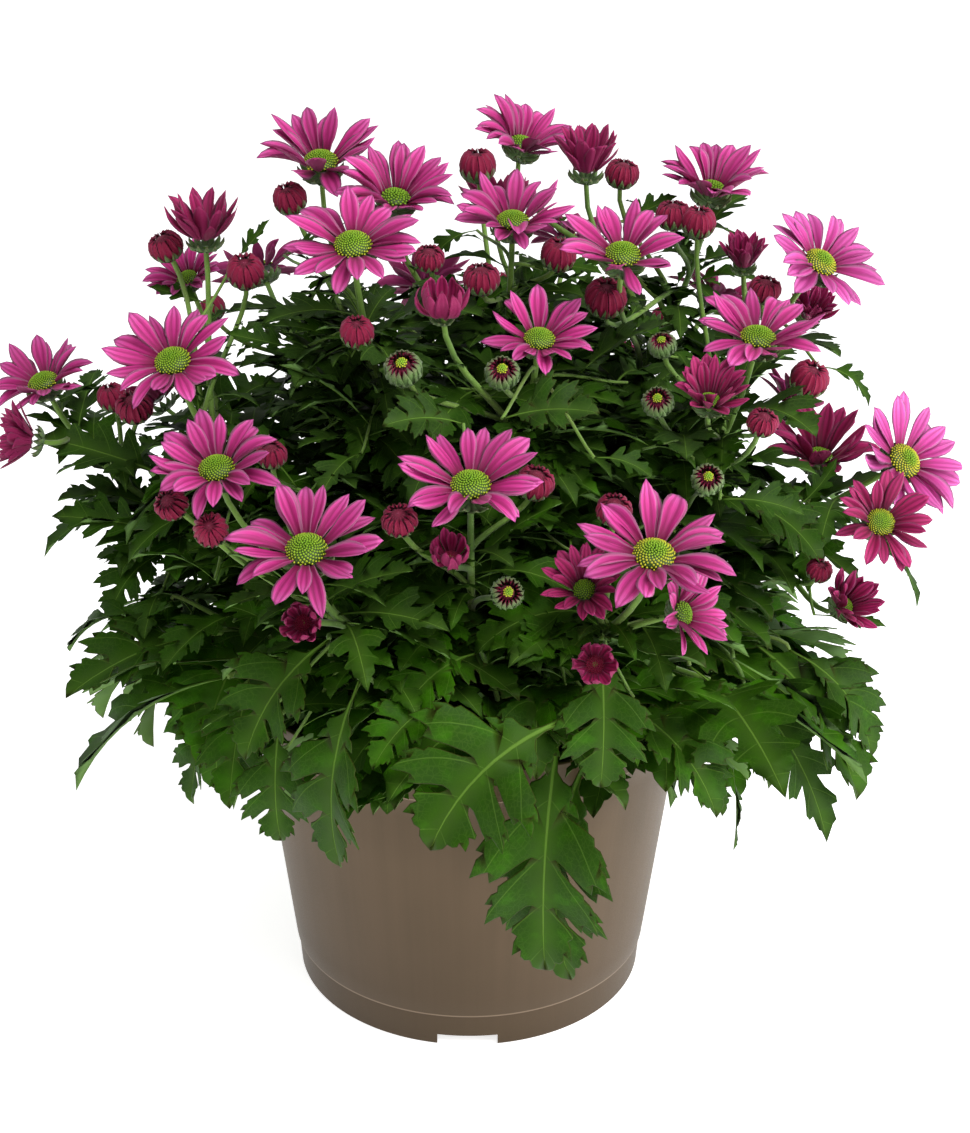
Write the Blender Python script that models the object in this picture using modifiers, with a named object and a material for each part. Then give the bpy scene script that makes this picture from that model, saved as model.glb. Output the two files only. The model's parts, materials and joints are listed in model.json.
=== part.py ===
"""Pot chrysanthemum: a tapered plastic pot with a notched foot, potting soil, five leafy plants and their
daisy blooms. Metres, +Z up, origin on the table under the middle of the pot, the viewer at -Y."""

import math
import random
from collections import namedtuple

import bmesh
import bpy
from mathutils import Matrix, Vector
from mathutils.bvhtree import BVHTree

MM = 0.001
GAP = 0.35 * MM

# Pot
POT_HEIGHT = 142 * MM
RIM_RADIUS = 96 * MM
FOOT_RADIUS = 79 * MM
WALL = 1.6 * MM
FOOT_WALL = 2.6 * MM
RIM_BAND_HEIGHT = 15 * MM
FOOT_BAND_HEIGHT = 16 * MM
BAND_STEP = 0.8 * MM
FLOOR_UNDERSIDE = 8 * MM
FLOOR_THICKNESS = 2 * MM
POT_SIDES = 32
NOTCH_COUNT = 4
NOTCH_WIDTH = 26 * MM
NOTCH_HEIGHT = 5 * MM
DRAIN_COUNT = 6
DRAIN_RADIUS = 5 * MM
DRAIN_RING = 52 * MM

# Soil
SOIL_TOP = 128 * MM
SOIL_CROWN = 2 * MM
SOIL_SIDES = 24

# Stems
STEM_DEPTH = 22 * MM
STEM_RISE = 9 * MM
LIMB_START = 5 * MM
STEM_RADIUS = 3.2 * MM
LIMB_RADIUS = 2.2 * MM
STALK_RADIUS = 1.2 * MM
LIMB_LEAN = 0.3
SHOOT_REACH = 121 * MM
SHOOT_HEIGHT = 172 * MM
LIMB_POINTS = 5
SHOOT_POINTS = 4
STALK_POINTS = 3

# Leaves
LEAF_THICKNESS = 0.7 * MM
LEAF_CLEARANCE = 0.4 * MM
LEAF_SPACING = 19 * MM
SHOOT_LEAVES = 7
MOST_LEAVES = {"shoot": 38, "limb": 30}
SMALL_LEAF = 50 * MM
LEAF_CUP = 0.22
SEED = 21

# Flowers, as shares of their width across
PETAL_THICKNESS = 0.65 * MM
HUB = 0.14
CALYX_DEPTH = 0.11
CALYX_WIDTH = 0.9
DISC_RADIUS = 0.135
DISC_DOME = 0.085
WIDEST = 0.6
PETAL_FILL = 0.92
LAYER_LIFT = 9
PETAL_COUNT = {"open": 11, "cup": 10, "crown": 7, "burst": 5}
PETAL_LENGTH = {"open": 0.37, "cup": 0.42, "crown": 0.47, "burst": 0.58}
# How far the ring that carries the petals lies behind the middle of the flower
HUB_DROP = {"open": 0.0, "cup": 0.1, "crown": 0.22, "burst": 0.34}

# Colours, red, green and blue, and roughness
COLOURS = {
    "taupe_plastic": ((0.20, 0.155, 0.125), 0.45),
    "potting_soil": ((0.035, 0.022, 0.014), 0.95),
    "foliage": ((0.045, 0.13, 0.02), 0.5),
    "magenta_petal": ((0.55, 0.035, 0.27), 0.5),
    "crimson_petal": ((0.36, 0.012, 0.10), 0.5),
    "disc_floret": ((0.36, 0.46, 0.02), 0.6),
}

# Where each plant leaves the soil, in millimetres from the middle of the pot
PLANTS = {
    "plant_left": (-52, -4),
    "plant_front": (2, -54),
    "plant_right": (54, -4),
    "plant_crown": (0, 0),
    "plant_back": (0, 54),
}

# Each limb of a plant rises to its leading flower
LIMBS = {
    "far_left": ("plant_left", "bloom_14"),
    "left": ("plant_left", "bloom_04"),
    "left_front": ("plant_front", "bloom_06"),
    "front": ("plant_front", "bloom_07"),
    "front_high": ("plant_front", "bloom_08"),
    "right_front": ("plant_front", "bloom_17"),
    "right": ("plant_right", "bloom_13"),
    "right_high": ("plant_right", "bloom_12"),
    "far_right": ("plant_right", "bloom_15"),
    "crown_left": ("plant_crown", "bloom_02"),
    "crown": ("plant_crown", "bloom_09"),
    "crown_right": ("plant_crown", "bloom_11"),
    "back_left": ("plant_back", "bloom_20"),
    "back": ("plant_back", "bloom_21"),
    "back_high": ("plant_back", "bloom_22"),
    "back_right": ("plant_back", "bloom_23"),
}

# Low leafy shoots that arch over the rim, by the way that each one faces round the pot in degrees
SHOOTS = {
    "plant_left": (-128, -100, -74, -52),
    "plant_front": (-34, -14, 8, 32),
    "plant_right": (52, 76, 102, 130),
    "plant_back": (152, 180, 206),
}

# x, y and z are the middle of the flower in millimetres, turn the way it faces round the pot (0 to the
# viewer, 90 to the viewer's right), rise its tilt above the horizon, across its width in millimetres, and
# lift the angle at which its petals leave their own plane. Its stalk leaves the limb at a share of the limb's
# length.
# open and cup flowers show a disc, crown and burst flowers are still closed over it.
Head = namedtuple("Head", "name kind limb share x y z turn rise across lift")
HEADS = [
    Head("bloom_01", "open", "crown_left", 0.58, -62, 20, 359, 5, 60, 49, 18),
    Head("bloom_02", "open", "crown_left", 1.0, -44, -50, 338, 0, 54, 50, 8),
    Head("bloom_03", "cup", "crown", 0.60, -30, -8, 353, 10, 58, 46, 22),
    Head("bloom_04", "open", "left", 1.0, -114, -50, 293, -8, 53, 49, 8),
    Head("bloom_05", "open", "left_front", 0.60, -91, -100, 266, -8, 58, 46, 10),
    Head("bloom_06", "open", "left_front", 1.0, -55, -140, 250, 0, 50, 50, 6),
    Head("bloom_07", "open", "front", 1.0, 1, -120, 267, 0, 60, 48, 10),
    Head("bloom_08", "open", "front_high", 1.0, 26, -60, 305, 8, 56, 42, 12),
    Head("bloom_09", "open", "crown", 1.0, 16, -20, 342, 0, 64, 46, 14),
    Head("bloom_10", "open", "crown_right", 0.60, 57, -50, 335, 5, 54, 48, 10),
    Head("bloom_11", "cup", "crown_right", 1.0, 100, 30, 352, 10, 68, 47, 22),
    Head("bloom_12", "open", "right_high", 1.0, 139, -10, 325, 34, 50, 48, 12),
    Head("bloom_13", "open", "right", 1.0, 108, -60, 306, 12, 64, 47, 12),
    Head("bloom_14", "open", "far_left", 1.0, -178, 0, 271, -60, 42, 44, 16),
    Head("bloom_15", "open", "far_right", 1.0, 175, -30, 249, 33, 38, 52, 8),
    Head("bloom_16", "open", "far_right", 0.74, 160, -62, 234, 5, 36, 39, 20),
    Head("bloom_17", "open", "right_front", 1.0, 64, -140, 249, 8, 62, 51, 10),
    Head("bloom_18", "cup", "right_front", 0.66, 41, -128, 233, -14, 48, 33, 34),
    Head("bloom_19", "cup", "right_front", 0.56, 78, -134, 226, 48, 26, 36, 26),
    Head("bloom_20", "open", "back_left", 1.0, -98, 95, 300, -140, 55, 47, 12),
    Head("bloom_21", "open", "back", 1.0, -24, 142, 284, -170, 50, 49, 10),
    Head("bloom_22", "open", "back_high", 1.0, 44, 112, 312, 162, 58, 46, 12),
    Head("bloom_23", "open", "back_right", 1.0, 112, 92, 290, 125, 52, 48, 9),
    Head("bloom_24", "cup", "back_left", 0.62, -146, 64, 250, -110, 48, 44, 20),
    Head("bloom_25", "cup", "back_right", 0.62, 150, 68, 246, 110, 46, 44, 20),
    Head("bloom_26", "cup", "left", 0.62, -121, 24, 313, -25, 58, 36, 24),
    Head("bloom_27", "cup", "crown_right", 0.74, 22, 42, 368, 40, 50, 44, 24),
    Head("crown_01", "crown", "left", 0.70, -107, -6, 341, -5, 82, 34, 48),
    Head("crown_02", "crown", "far_left", 0.84, -184, -28, 256, -70, 16, 30, 45),
    Head("crown_03", "crown", "crown_right", 0.66, 46, 8, 366, 5, 80, 30, 56),
    Head("crown_04", "crown", "far_right", 0.66, 148, 4, 248, -10, 72, 38, 34),
    Head("crown_05", "crown", "right", 0.72, 88, -86, 294, 0, 64, 30, 46),
    Head("crown_06", "crown", "back", 0.62, -66, 148, 250, -160, 42, 34, 40),
    Head("crown_07", "crown", "back_high", 0.70, 10, 96, 336, 180, 70, 36, 44),
    Head("burst_01", "burst", "far_right", 0.52, 152, -62, 201, 40, 30, 28, 58),
    Head("burst_02", "burst", "right_high", 0.72, 113, 20, 324, -20, 80, 24, 62),
    Head("burst_03", "burst", "right_high", 0.64, 144, 22, 301, 20, 66, 24, 60),
    Head("burst_04", "burst", "front_high", 0.70, -10, -80, 325, 0, 75, 20, 70),
    Head("burst_05", "burst", "front", 0.70, -6, -128, 246, 0, 55, 16, 76),
    Head("burst_06", "burst", "left_front", 0.66, -57, -146, 226, 0, 25, 16, 76),
    Head("burst_07", "burst", "right_front", 0.50, 45, -146, 211, 0, 25, 17, 74),
    Head("burst_08", "burst", "back_high", 0.58, 76, 144, 250, 150, 42, 24, 60),
    Head("bud_01", "bud", "left", 0.74, -124, 2, 328, -40, 60, 12, 90),
    Head("bud_02", "bud", "left", 0.80, -90, -14, 321, 0, 55, 13, 90),
    Head("bud_03", "bud", "far_left", 0.72, -138, -14, 265, 0, 60, 13, 90),
    Head("bud_04", "bud", "far_left", 0.66, -151, 4, 264, -30, 70, 11, 90),
    Head("bud_05", "bud", "left_front", 0.50, -111, -86, 248, -20, 40, 11, 90),
    Head("bud_06", "bud", "left_front", 0.54, -92, -114, 248, 0, 40, 11, 90),
    Head("bud_07", "bud", "left_front", 0.72, -74, -78, 265, 0, 70, 10, 90),
    Head("bud_08", "bud", "crown_left", 0.80, -42, -66, 309, 0, 60, 11, 90),
    Head("bud_09", "bud", "crown", 0.78, -16, -36, 331, 0, 60, 10, 90),
    Head("bud_10", "bud", "crown_left", 0.64, -74, 10, 346, -30, 60, 12, 90),
    Head("bud_11", "bud", "front_high", 0.74, -24, -84, 300, -10, 50, 13, 90),
    Head("bud_12", "bud", "front_high", 0.80, 12, -82, 298, 0, 45, 12, 90),
    Head("bud_13", "bud", "front", 0.62, -24, -122, 255, -10, 55, 11, 90),
    Head("bud_14", "bud", "front", 0.55, 14, -130, 231, 10, 30, 11, 90),
    Head("bud_15", "bud", "front", 0.80, 24, -100, 262, 20, 65, 12, 90),
    Head("bud_16", "bud", "crown_right", 0.80, 52, -36, 316, 0, 60, 14, 90),
    Head("bud_17", "bud", "crown", 0.84, 4, -40, 324, -10, 70, 12, 90),
    Head("bud_18", "bud", "crown", 0.86, 34, -22, 330, 10, 65, 12, 90),
    Head("bud_19", "bud", "crown_right", 0.76, 62, 32, 354, 20, 70, 12, 90),
    Head("bud_20", "bud", "crown", 0.62, 2, 22, 358, -20, 75, 13, 90),
    Head("bud_21", "bud", "right_front", 0.62, 52, -112, 256, 0, 60, 11, 90),
    Head("bud_22", "bud", "right", 0.78, 72, -62, 304, -20, 60, 10, 90),
    Head("bud_23", "bud", "right", 0.62, 69, -84, 288, -10, 45, 11, 90),
    Head("bud_24", "bud", "right", 0.56, 86, -104, 265, 0, 40, 11, 90),
    Head("bud_25", "bud", "right", 0.60, 108, -82, 280, 10, 60, 10, 90),
    Head("bud_26", "bud", "right_high", 0.60, 132, -42, 286, 20, 60, 13, 90),
    Head("bud_27", "bud", "right_high", 0.80, 118, -8, 314, 10, 65, 11, 90),
    Head("bud_28", "bud", "right_high", 0.56, 92, 8, 338, 0, 70, 12, 90),
    Head("bud_29", "bud", "crown_right", 0.84, 82, 14, 340, -10, 75, 12, 90),
    Head("bud_30", "bud", "far_right", 0.48, 140, -52, 210, 10, 60, 9, 90),
    Head("bud_31", "bud", "back_left", 0.74, -118, 68, 288, -120, 60, 11, 90),
    Head("bud_32", "bud", "back", 0.80, -58, 118, 300, -160, 60, 12, 90),
    Head("bud_33", "bud", "back_high", 0.76, 14, 138, 286, 175, 50, 11, 90),
    Head("bud_34", "bud", "back_right", 0.70, 92, 122, 272, 140, 50, 12, 90),
]

# Points of a leaf as shares of its length: along the midrib, and along and across its lobed margin
LEAF_RIB = (0.0, 0.3, 0.62, 1.0)
LEAF_MARGIN = ((0.0, 0.0), (0.18, 0.022), (0.42, 0.21), (0.46, 0.1), (0.7, 0.27), (0.74, 0.12), (1.0, 0.0))
SMALL_RIB = (0.0, 0.5, 1.0)
SMALL_MARGIN = ((0.0, 0.0), (0.22, 0.032), (0.66, 0.25), (0.7, 0.1), (1.0, 0.0))
Leaf = namedtuple("Leaf", "plant limb root heading pitch droop roll length")


def clear_scene():
    for obj in list(bpy.data.objects):
        bpy.data.objects.remove(obj)


def material(name):
    colour, roughness = COLOURS[name]
    made = bpy.data.materials.new(name)
    made.use_nodes = True
    shader = made.node_tree.nodes["Principled BSDF"]
    shader.inputs["Base Color"].default_value = (*colour, 1)
    shader.inputs["Roughness"].default_value = roughness
    return made


def new_object(name, mesh, collection, finish=None):
    obj = bpy.data.objects.new(name, mesh)
    collection.objects.link(obj)
    if finish:
        mesh.materials.clear()
        mesh.materials.append(finish)
    return obj


def object_of(bm, name, collection, finish=None):
    mesh = bpy.data.meshes.new(name)
    bm.to_mesh(mesh)
    bm.free()
    return new_object(name, mesh, collection, finish)


def apply_modifiers(obj):
    """The object's mesh replaced by what its modifiers make of it."""
    bpy.context.view_layer.update()
    mesh = bpy.data.meshes.new_from_object(obj.evaluated_get(bpy.context.evaluated_depsgraph_get()))
    obj.modifiers.clear()
    obj.data = mesh


def heading_vector(turn, rise):
    """The unit vector that faces turn degrees round from the viewer and rise degrees up."""
    around, up = math.radians(turn), math.radians(rise)
    return Vector((math.sin(around) * math.cos(up), -math.cos(around) * math.cos(up), math.sin(up)))


def middle(head):
    return Vector((head.x, head.y, head.z)) * MM


def hub_frame(head):
    """The matrix that sets a flower, modelled face up with its petals' ring at the origin, in its place."""
    out = heading_vector(head.turn, head.rise)
    place = middle(head) - out * head.across * MM * HUB_DROP.get(head.kind, 0)
    return Matrix.Translation(place) @ out.to_track_quat("Z", "Y").to_matrix().to_4x4()


def turned(name, profile, sides, collection, finish):
    """A solid of revolution from (radius, height) points, outer side first, starting and ending on the axis."""
    mesh = bpy.data.meshes.new(name)
    mesh.from_pydata([(r, 0, z) for r, z in profile], [(i, i + 1) for i in range(len(profile) - 1)], [])
    obj = new_object(name, mesh, collection)
    screw = obj.modifiers.new("turn", "SCREW")
    screw.steps = screw.render_steps = sides
    screw.use_merge_vertices = True
    screw.merge_threshold = 0.01 * MM
    apply_modifiers(obj)
    bm = bmesh.new()
    bm.from_mesh(obj.data)
    bmesh.ops.remove_doubles(bm, verts=bm.verts, dist=0.01 * MM)
    bmesh.ops.recalc_face_normals(bm, faces=bm.faces)
    bm.to_mesh(obj.data)
    bm.free()
    obj.data.materials.append(finish)
    return obj


def cut(obj, cutters):
    """Cuts the cutters out of obj and removes them."""
    for cutter in cutters:
        cutter.hide_render = True
        cutter.display_type = "WIRE"
        modifier = obj.modifiers.new("cut", "BOOLEAN")
        modifier.operation = "DIFFERENCE"
        modifier.object = cutter
    apply_modifiers(obj)
    for cutter in cutters:
        bpy.data.objects.remove(cutter)


def pot_radius(height):
    """Outer radius of the plain wall at a height."""
    return FOOT_RADIUS + (RIM_RADIUS - FOOT_RADIUS) * height / POT_HEIGHT


def build_pot(collection, finish):
    """A thin tapered wall with stepped rim and foot bands, a raised floor with drain holes, and notches."""
    rim, floor_top = POT_HEIGHT - RIM_BAND_HEIGHT, FLOOR_UNDERSIDE + FLOOR_THICKNESS
    profile = [
        (0, floor_top),
        (pot_radius(floor_top) - FOOT_WALL, floor_top),
        (pot_radius(POT_HEIGHT) - WALL, POT_HEIGHT),
        (pot_radius(POT_HEIGHT) + BAND_STEP, POT_HEIGHT),
        (pot_radius(rim) + BAND_STEP, rim),
        (pot_radius(rim), rim - BAND_STEP),
        (pot_radius(FOOT_BAND_HEIGHT), FOOT_BAND_HEIGHT),
        (pot_radius(FOOT_BAND_HEIGHT) - BAND_STEP, FOOT_BAND_HEIGHT - BAND_STEP),
        (FOOT_RADIUS, 0),
        (FOOT_RADIUS - FOOT_WALL, 0),
        (pot_radius(FLOOR_UNDERSIDE) - FOOT_WALL, FLOOR_UNDERSIDE),
        (0, FLOOR_UNDERSIDE),
    ]
    pot = turned("pot", profile, POT_SIDES, collection, finish)
    cutters = []
    for i in range(NOTCH_COUNT):
        bm = bmesh.new()
        bmesh.ops.create_cube(bm, size=1)
        size = Matrix.Diagonal((NOTCH_WIDTH, 8 * FOOT_WALL, 2 * NOTCH_HEIGHT, 1))
        turn = Matrix.Rotation(math.tau * i / NOTCH_COUNT, 4, "Z")
        bm.transform(turn @ Matrix.Translation((0, -FOOT_RADIUS, 0)) @ size)
        cutters.append(object_of(bm, f"notch_{i}", collection))
    for i in range(DRAIN_COUNT):
        around = math.tau * (i + 0.4) / DRAIN_COUNT
        place = Vector((math.cos(around) * DRAIN_RING, math.sin(around) * DRAIN_RING, FLOOR_UNDERSIDE))
        cutters.append(plug(f"drain_{i}", place, DRAIN_RADIUS, 4 * FLOOR_THICKNESS, collection))
    cut(pot, cutters)
    return pot


def plug(name, place, radius, depth, collection):
    """An upright eight-sided cylinder about a place."""
    bm = bmesh.new()
    bmesh.ops.create_cone(bm, cap_ends=True, segments=8, radius1=radius, radius2=radius, depth=depth)
    bm.transform(Matrix.Translation(place))
    return object_of(bm, name, collection)


def build_soil(collection, finish):
    """Potting soil that fills the pot to below its rim, with a plain hole where each plant stands."""
    bottom = FLOOR_UNDERSIDE + FLOOR_THICKNESS + GAP
    top_radius = pot_radius(SOIL_TOP) - FOOT_WALL - GAP
    profile = [
        (0, SOIL_TOP + SOIL_CROWN),
        (top_radius * 0.6, SOIL_TOP + SOIL_CROWN),
        (top_radius, SOIL_TOP),
        (pot_radius(bottom) - FOOT_WALL - GAP * 3, bottom),
        (0, bottom),
    ]
    soil = turned("soil", profile, SOIL_SIDES, collection, finish)
    radius = STEM_RADIUS + 2 * GAP
    holes = [
        plug(f"hole_{name}", Vector((x * MM, y * MM, SOIL_TOP)), radius, 2 * (STEM_DEPTH + GAP), collection)
        for name, (x, y) in PLANTS.items()
    ]
    cut(soil, holes)
    return soil


def route_point(route, t):
    a, b, c, d = route
    s = 1 - t
    return a * s**3 + b * 3 * s * s * t + c * 3 * s * t * t + d * t**3


def stem_point(route, count, share):
    """A point on the straight lengths that join count even steps of the route."""
    place = share * (count - 1)
    step = min(int(place), count - 2)
    low, high = (route_point(route, k / (count - 1)) for k in (step, step + 1))
    return low.lerp(high, place - step)


def route_tangent(route, t):
    a, b, c, d = route
    s = 1 - t
    return ((b - a) * s * s + (c - b) * 2 * s * t + (d - c) * t * t).normalized()


def stalk_end(head):
    """Where a stalk ends: inside a bud or burst, or at the foot of the calyx."""
    if head.kind == "bud":
        return middle(head) - heading_vector(head.turn, head.rise) * head.across * MM * 0.3
    if head.kind == "burst":
        return hub_frame(head) @ Vector((0, 0, 0.1 * head.across * MM))
    return hub_frame(head) @ Vector((0, 0, -CALYX_DEPTH * head.across * MM))


def limb_route(limb):
    """The limb's line from the soil to its leading flower."""
    plant, leader = LIMBS[limb]
    head = next(h for h in HEADS if h.name == leader)
    foot = Vector((PLANTS[plant][0] * MM, PLANTS[plant][1] * MM, SOIL_TOP + LIMB_START))
    end, out = stalk_end(head), heading_vector(head.turn, head.rise)
    reach = (end - foot).length
    lean = Vector((end.x - foot.x, end.y - foot.y, 0)) * LIMB_LEAN
    return foot, foot + lean + Vector((0, 0, reach * 0.36)), end - out * reach * 0.32, end


def stalk_route(head):
    """A side flower's line from its limb to the flower."""
    limb = limb_route(head.limb)
    start, end = stem_point(limb, LIMB_POINTS, head.share), stalk_end(head)
    out, reach = heading_vector(head.turn, head.rise), (end - start).length
    away = (route_tangent(limb, head.share) + (end - start).normalized()) / 2
    return start, start + away * reach * 0.35, end - out * reach * 0.38, end


def shoot_route(plant, turn):
    """A leafy shoot's line from the soil, up and out over the rim."""
    foot = Vector((PLANTS[plant][0] * MM, PLANTS[plant][1] * MM, SOIL_TOP + LIMB_START))
    out = heading_vector(turn, 0)
    end = out * SHOOT_REACH + Vector((0, 0, SHOOT_HEIGHT))
    climb = Vector((0, 0, 0.7 * (SHOOT_HEIGHT - foot.z)))
    return foot, foot + out * 14 * MM + climb, end - out * 0.35 * (end - foot).length, end


def tube(name, points, radii, collection, resolution=0):
    """A closed tube through the points, with a radius at each."""
    data = bpy.data.curves.new(name, "CURVE")
    data.dimensions = "3D"
    data.bevel_depth = 1
    data.bevel_resolution = resolution
    data.use_fill_caps = True
    spline = data.splines.new("POLY")
    spline.points.add(len(points) - 1)
    for knot, point, radius in zip(spline.points, points, radii):
        knot.co = (*point, 1)
        knot.radius = radius
    curve = new_object(name + "_line", data, collection)
    bpy.context.view_layer.update()
    mesh = bpy.data.meshes.new_from_object(curve.evaluated_get(bpy.context.evaluated_depsgraph_get()))
    bpy.data.objects.remove(curve)
    bm = bmesh.new()
    bm.from_mesh(mesh)
    bmesh.ops.remove_doubles(bm, verts=bm.verts, dist=0.01 * MM)
    bmesh.ops.recalc_face_normals(bm, faces=bm.faces)
    return object_of(bm, name, collection)


def stem(name, route, count, radius, head, collection):
    """A stem that thins towards its tip and, under a flower with petals apart, flares into the calyx."""
    steps = [i / (count - 1) for i in range(count)]
    points = [route_point(route, step) for step in steps]
    radii = [radius + (STALK_RADIUS - radius) * step for step in steps]
    if head and head.kind in ("open", "cup", "crown"):
        points.append(hub_frame(head) @ Vector((0, 0, -PETAL_THICKNESS / 2 - GAP)))
        radii.append(CALYX_WIDTH * HUB * head.across * MM)
    return tube(name, points, radii, collection)


def thicken(bm, name, thickness, collection):
    """The open surface given a thickness, half to each side."""
    bmesh.ops.recalc_face_normals(bm, faces=bm.faces)
    obj = object_of(bm, name, collection)
    shell = obj.modifiers.new("thickness", "SOLIDIFY")
    shell.thickness = thickness
    shell.offset = 0
    apply_modifiers(obj)
    return obj


def zip_rails(bm, near, far, near_shares, far_shares):
    """Triangles between two rows of points that run side by side, one for each step of either row."""
    i = j = 0
    while i < len(near) - 1 or j < len(far) - 1:
        if j == len(far) - 1 or (i < len(near) - 1 and near_shares[i + 1] <= far_shares[j + 1]):
            corners, i = (near[i], far[j], near[i + 1]), i + 1
        else:
            corners, j = (near[i], far[j], far[j + 1]), j + 1
        if len(set(corners)) == 3:
            bm.faces.new(corners)


def leaf_point(leaf, along, across):
    """A point of the blade, along its arched midrib and to one side of it, both as shares of its length."""
    start, bend = math.radians(leaf.pitch), math.radians(leaf.droop)
    here = start - bend * along
    radius = leaf.length / bend
    out = heading_vector(leaf.heading, 0)
    rib = out * (math.sin(start) - math.sin(here)) * radius
    rib.z = (math.cos(here) - math.cos(start)) * radius
    tilt = math.radians(leaf.roll)
    level = out.cross(Vector((0, 0, 1)))
    upward = out * -math.sin(here) + Vector((0, 0, math.cos(here)))
    side = level * math.cos(tilt) + upward * math.sin(tilt)
    lifted = upward * math.cos(tilt) - level * math.sin(tilt)
    return leaf.root + rib + side * across * leaf.length + lifted * abs(across) * leaf.length * LEAF_CUP


def leaf_sheet(leaf):
    """The leaf's lobed blade and stalk as an open surface."""
    rib_shares, margin = (SMALL_RIB, SMALL_MARGIN) if leaf.length < SMALL_LEAF else (LEAF_RIB, LEAF_MARGIN)
    margin_shares = [along for along, _ in margin]
    bm = bmesh.new()
    rib = [bm.verts.new(leaf_point(leaf, along, 0)) for along in rib_shares]
    for way in (1, -1):
        edge = [bm.verts.new(leaf_point(leaf, along, across * way)) for along, across in margin[1:-1]]
        zip_rails(bm, rib, rib[:1] + edge + rib[-1:], rib_shares, margin_shares)
    return bm


def petal_point(head, layer, angle, along):
    """A point on a petal's midline, in its flower's own frame."""
    size = head.across * MM
    start = math.radians(1.3 * head.lift + layer * LAYER_LIFT)
    bend = math.radians(0.7 * head.lift)
    here = start - bend * along
    radius = PETAL_LENGTH[head.kind] * size / bend
    out = HUB * size + (math.sin(start) - math.sin(here)) * radius
    return Vector((out * math.cos(angle), out * math.sin(angle), (math.cos(here) - math.cos(start)) * radius))


def ray_sheet(head):
    """All the petals of a flower as one open surface round a flat hub, every other one in the upper layer."""
    count, size = PETAL_COUNT[head.kind], head.across * MM
    bm = bmesh.new()
    corners = []
    for i in range(count):
        angle = math.tau * i / count
        corners.append(bm.verts.new((HUB * size * math.cos(angle), HUB * size * math.sin(angle), 0)))
    bm.faces.new(corners)
    for i in range(count):
        angle, layer = math.tau * (i + 0.5) / count, i % 2
        wide = petal_point(head, layer, angle, WIDEST)
        half_width = PETAL_FILL * math.pi * wide.xy.length / count
        side = Vector((-math.sin(angle), math.cos(angle), 0)) * half_width
        left, right = bm.verts.new(wide - side), bm.verts.new(wide + side)
        tip = bm.verts.new(petal_point(head, layer, angle, 1))
        after = corners[(i + 1) % count]
        bm.faces.new((corners[i], left, right))
        bm.faces.new((corners[i], right, after))
        bm.faces.new((left, tip, right))
    bmesh.ops.triangulate(bm, faces=bm.faces)
    return bm


def dome(name, radius, height, foot, sides, rings, relief, collection):
    """A dome about the origin, its points in and out by turns as a relief, closed below by a shallow foot."""
    bm = bmesh.new()
    bmesh.ops.create_uvsphere(bm, u_segments=sides, v_segments=rings, radius=1)
    for i, vert in enumerate(bm.verts):
        swell = 1 + (relief if i % 2 else -relief)
        rise = vert.co.z * (height * swell if vert.co.z > 0 else foot)
        vert.co = Vector((vert.co.x * radius, vert.co.y * radius, rise))
    return object_of(bm, name, collection)


def join(base, pieces, frame, finish=None):
    """The base with the pieces that grow from it joined on in one solid, set in its place."""
    repeats = bpy.data.collections.new("repeats")
    bpy.context.scene.collection.children.link(repeats)
    for piece in pieces:
        for holder in list(piece.users_collection):
            holder.objects.unlink(piece)
        repeats.objects.link(piece)
    union = base.modifiers.new("union", "BOOLEAN")
    union.operation = "UNION"
    union.operand_type = "COLLECTION"
    union.collection = repeats
    union.solver = "MANIFOLD"
    apply_modifiers(base)
    for piece in pieces:
        bpy.data.objects.remove(piece)
    bpy.data.collections.remove(repeats)
    base.data.transform(frame)
    base.data.materials.clear()
    base.data.materials.append(finish)
    return base


def build_flower(head, collection, finishes):
    """The nodes of an open, cup or crown flower. Only an open flower's disc is a node of its own."""
    frame, size = hub_frame(head), head.across * MM
    rays = thicken(ray_sheet(head), head.name, PETAL_THICKNESS, collection)
    if head.kind == "open":
        rays.data.transform(frame)
        rays.data.materials.append(finishes["magenta_petal"])
        name = head.name.replace("bloom", "disc")
        disc = dome(name, DISC_RADIUS * size, DISC_DOME * size, 0.3 * MM, 8, 3, 0.1, collection)
        lift = PETAL_THICKNESS / 2 + GAP + 0.3 * MM
        disc.data.transform(frame @ Matrix.Translation((0, 0, lift)))
        disc.data.materials.append(finishes["disc_floret"])
        return [rays, disc]
    if head.kind == "cup":
        core = dome("core", 0.85 * HUB * size, DISC_DOME * size, 0.2 * MM, 8, 3, 0.1, collection)
        return [join(rays, [core], frame, finishes["magenta_petal"])]
    core = dome("core", 0.85 * HUB * size, 0.25 * size, 0.2 * MM, 6, 3, 0, collection)
    return [join(rays, [core], frame, finishes["crimson_petal"])]


def fused_parts(head, collection):
    """What of a flower grows in one with its stalk: an opening burst of petals or a closed bud."""
    frame, size = hub_frame(head), head.across * MM
    if head.kind == "bud":
        parts = [dome("bud", size / 2, 0.46 * size, 0.5 * size, 5, 3, 0, collection)]
    elif head.kind == "burst":
        parts = [thicken(ray_sheet(head), "rays", PETAL_THICKNESS, collection)]
    else:
        parts = []
    for part in parts:
        part.data.transform(frame)
    return parts


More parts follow.
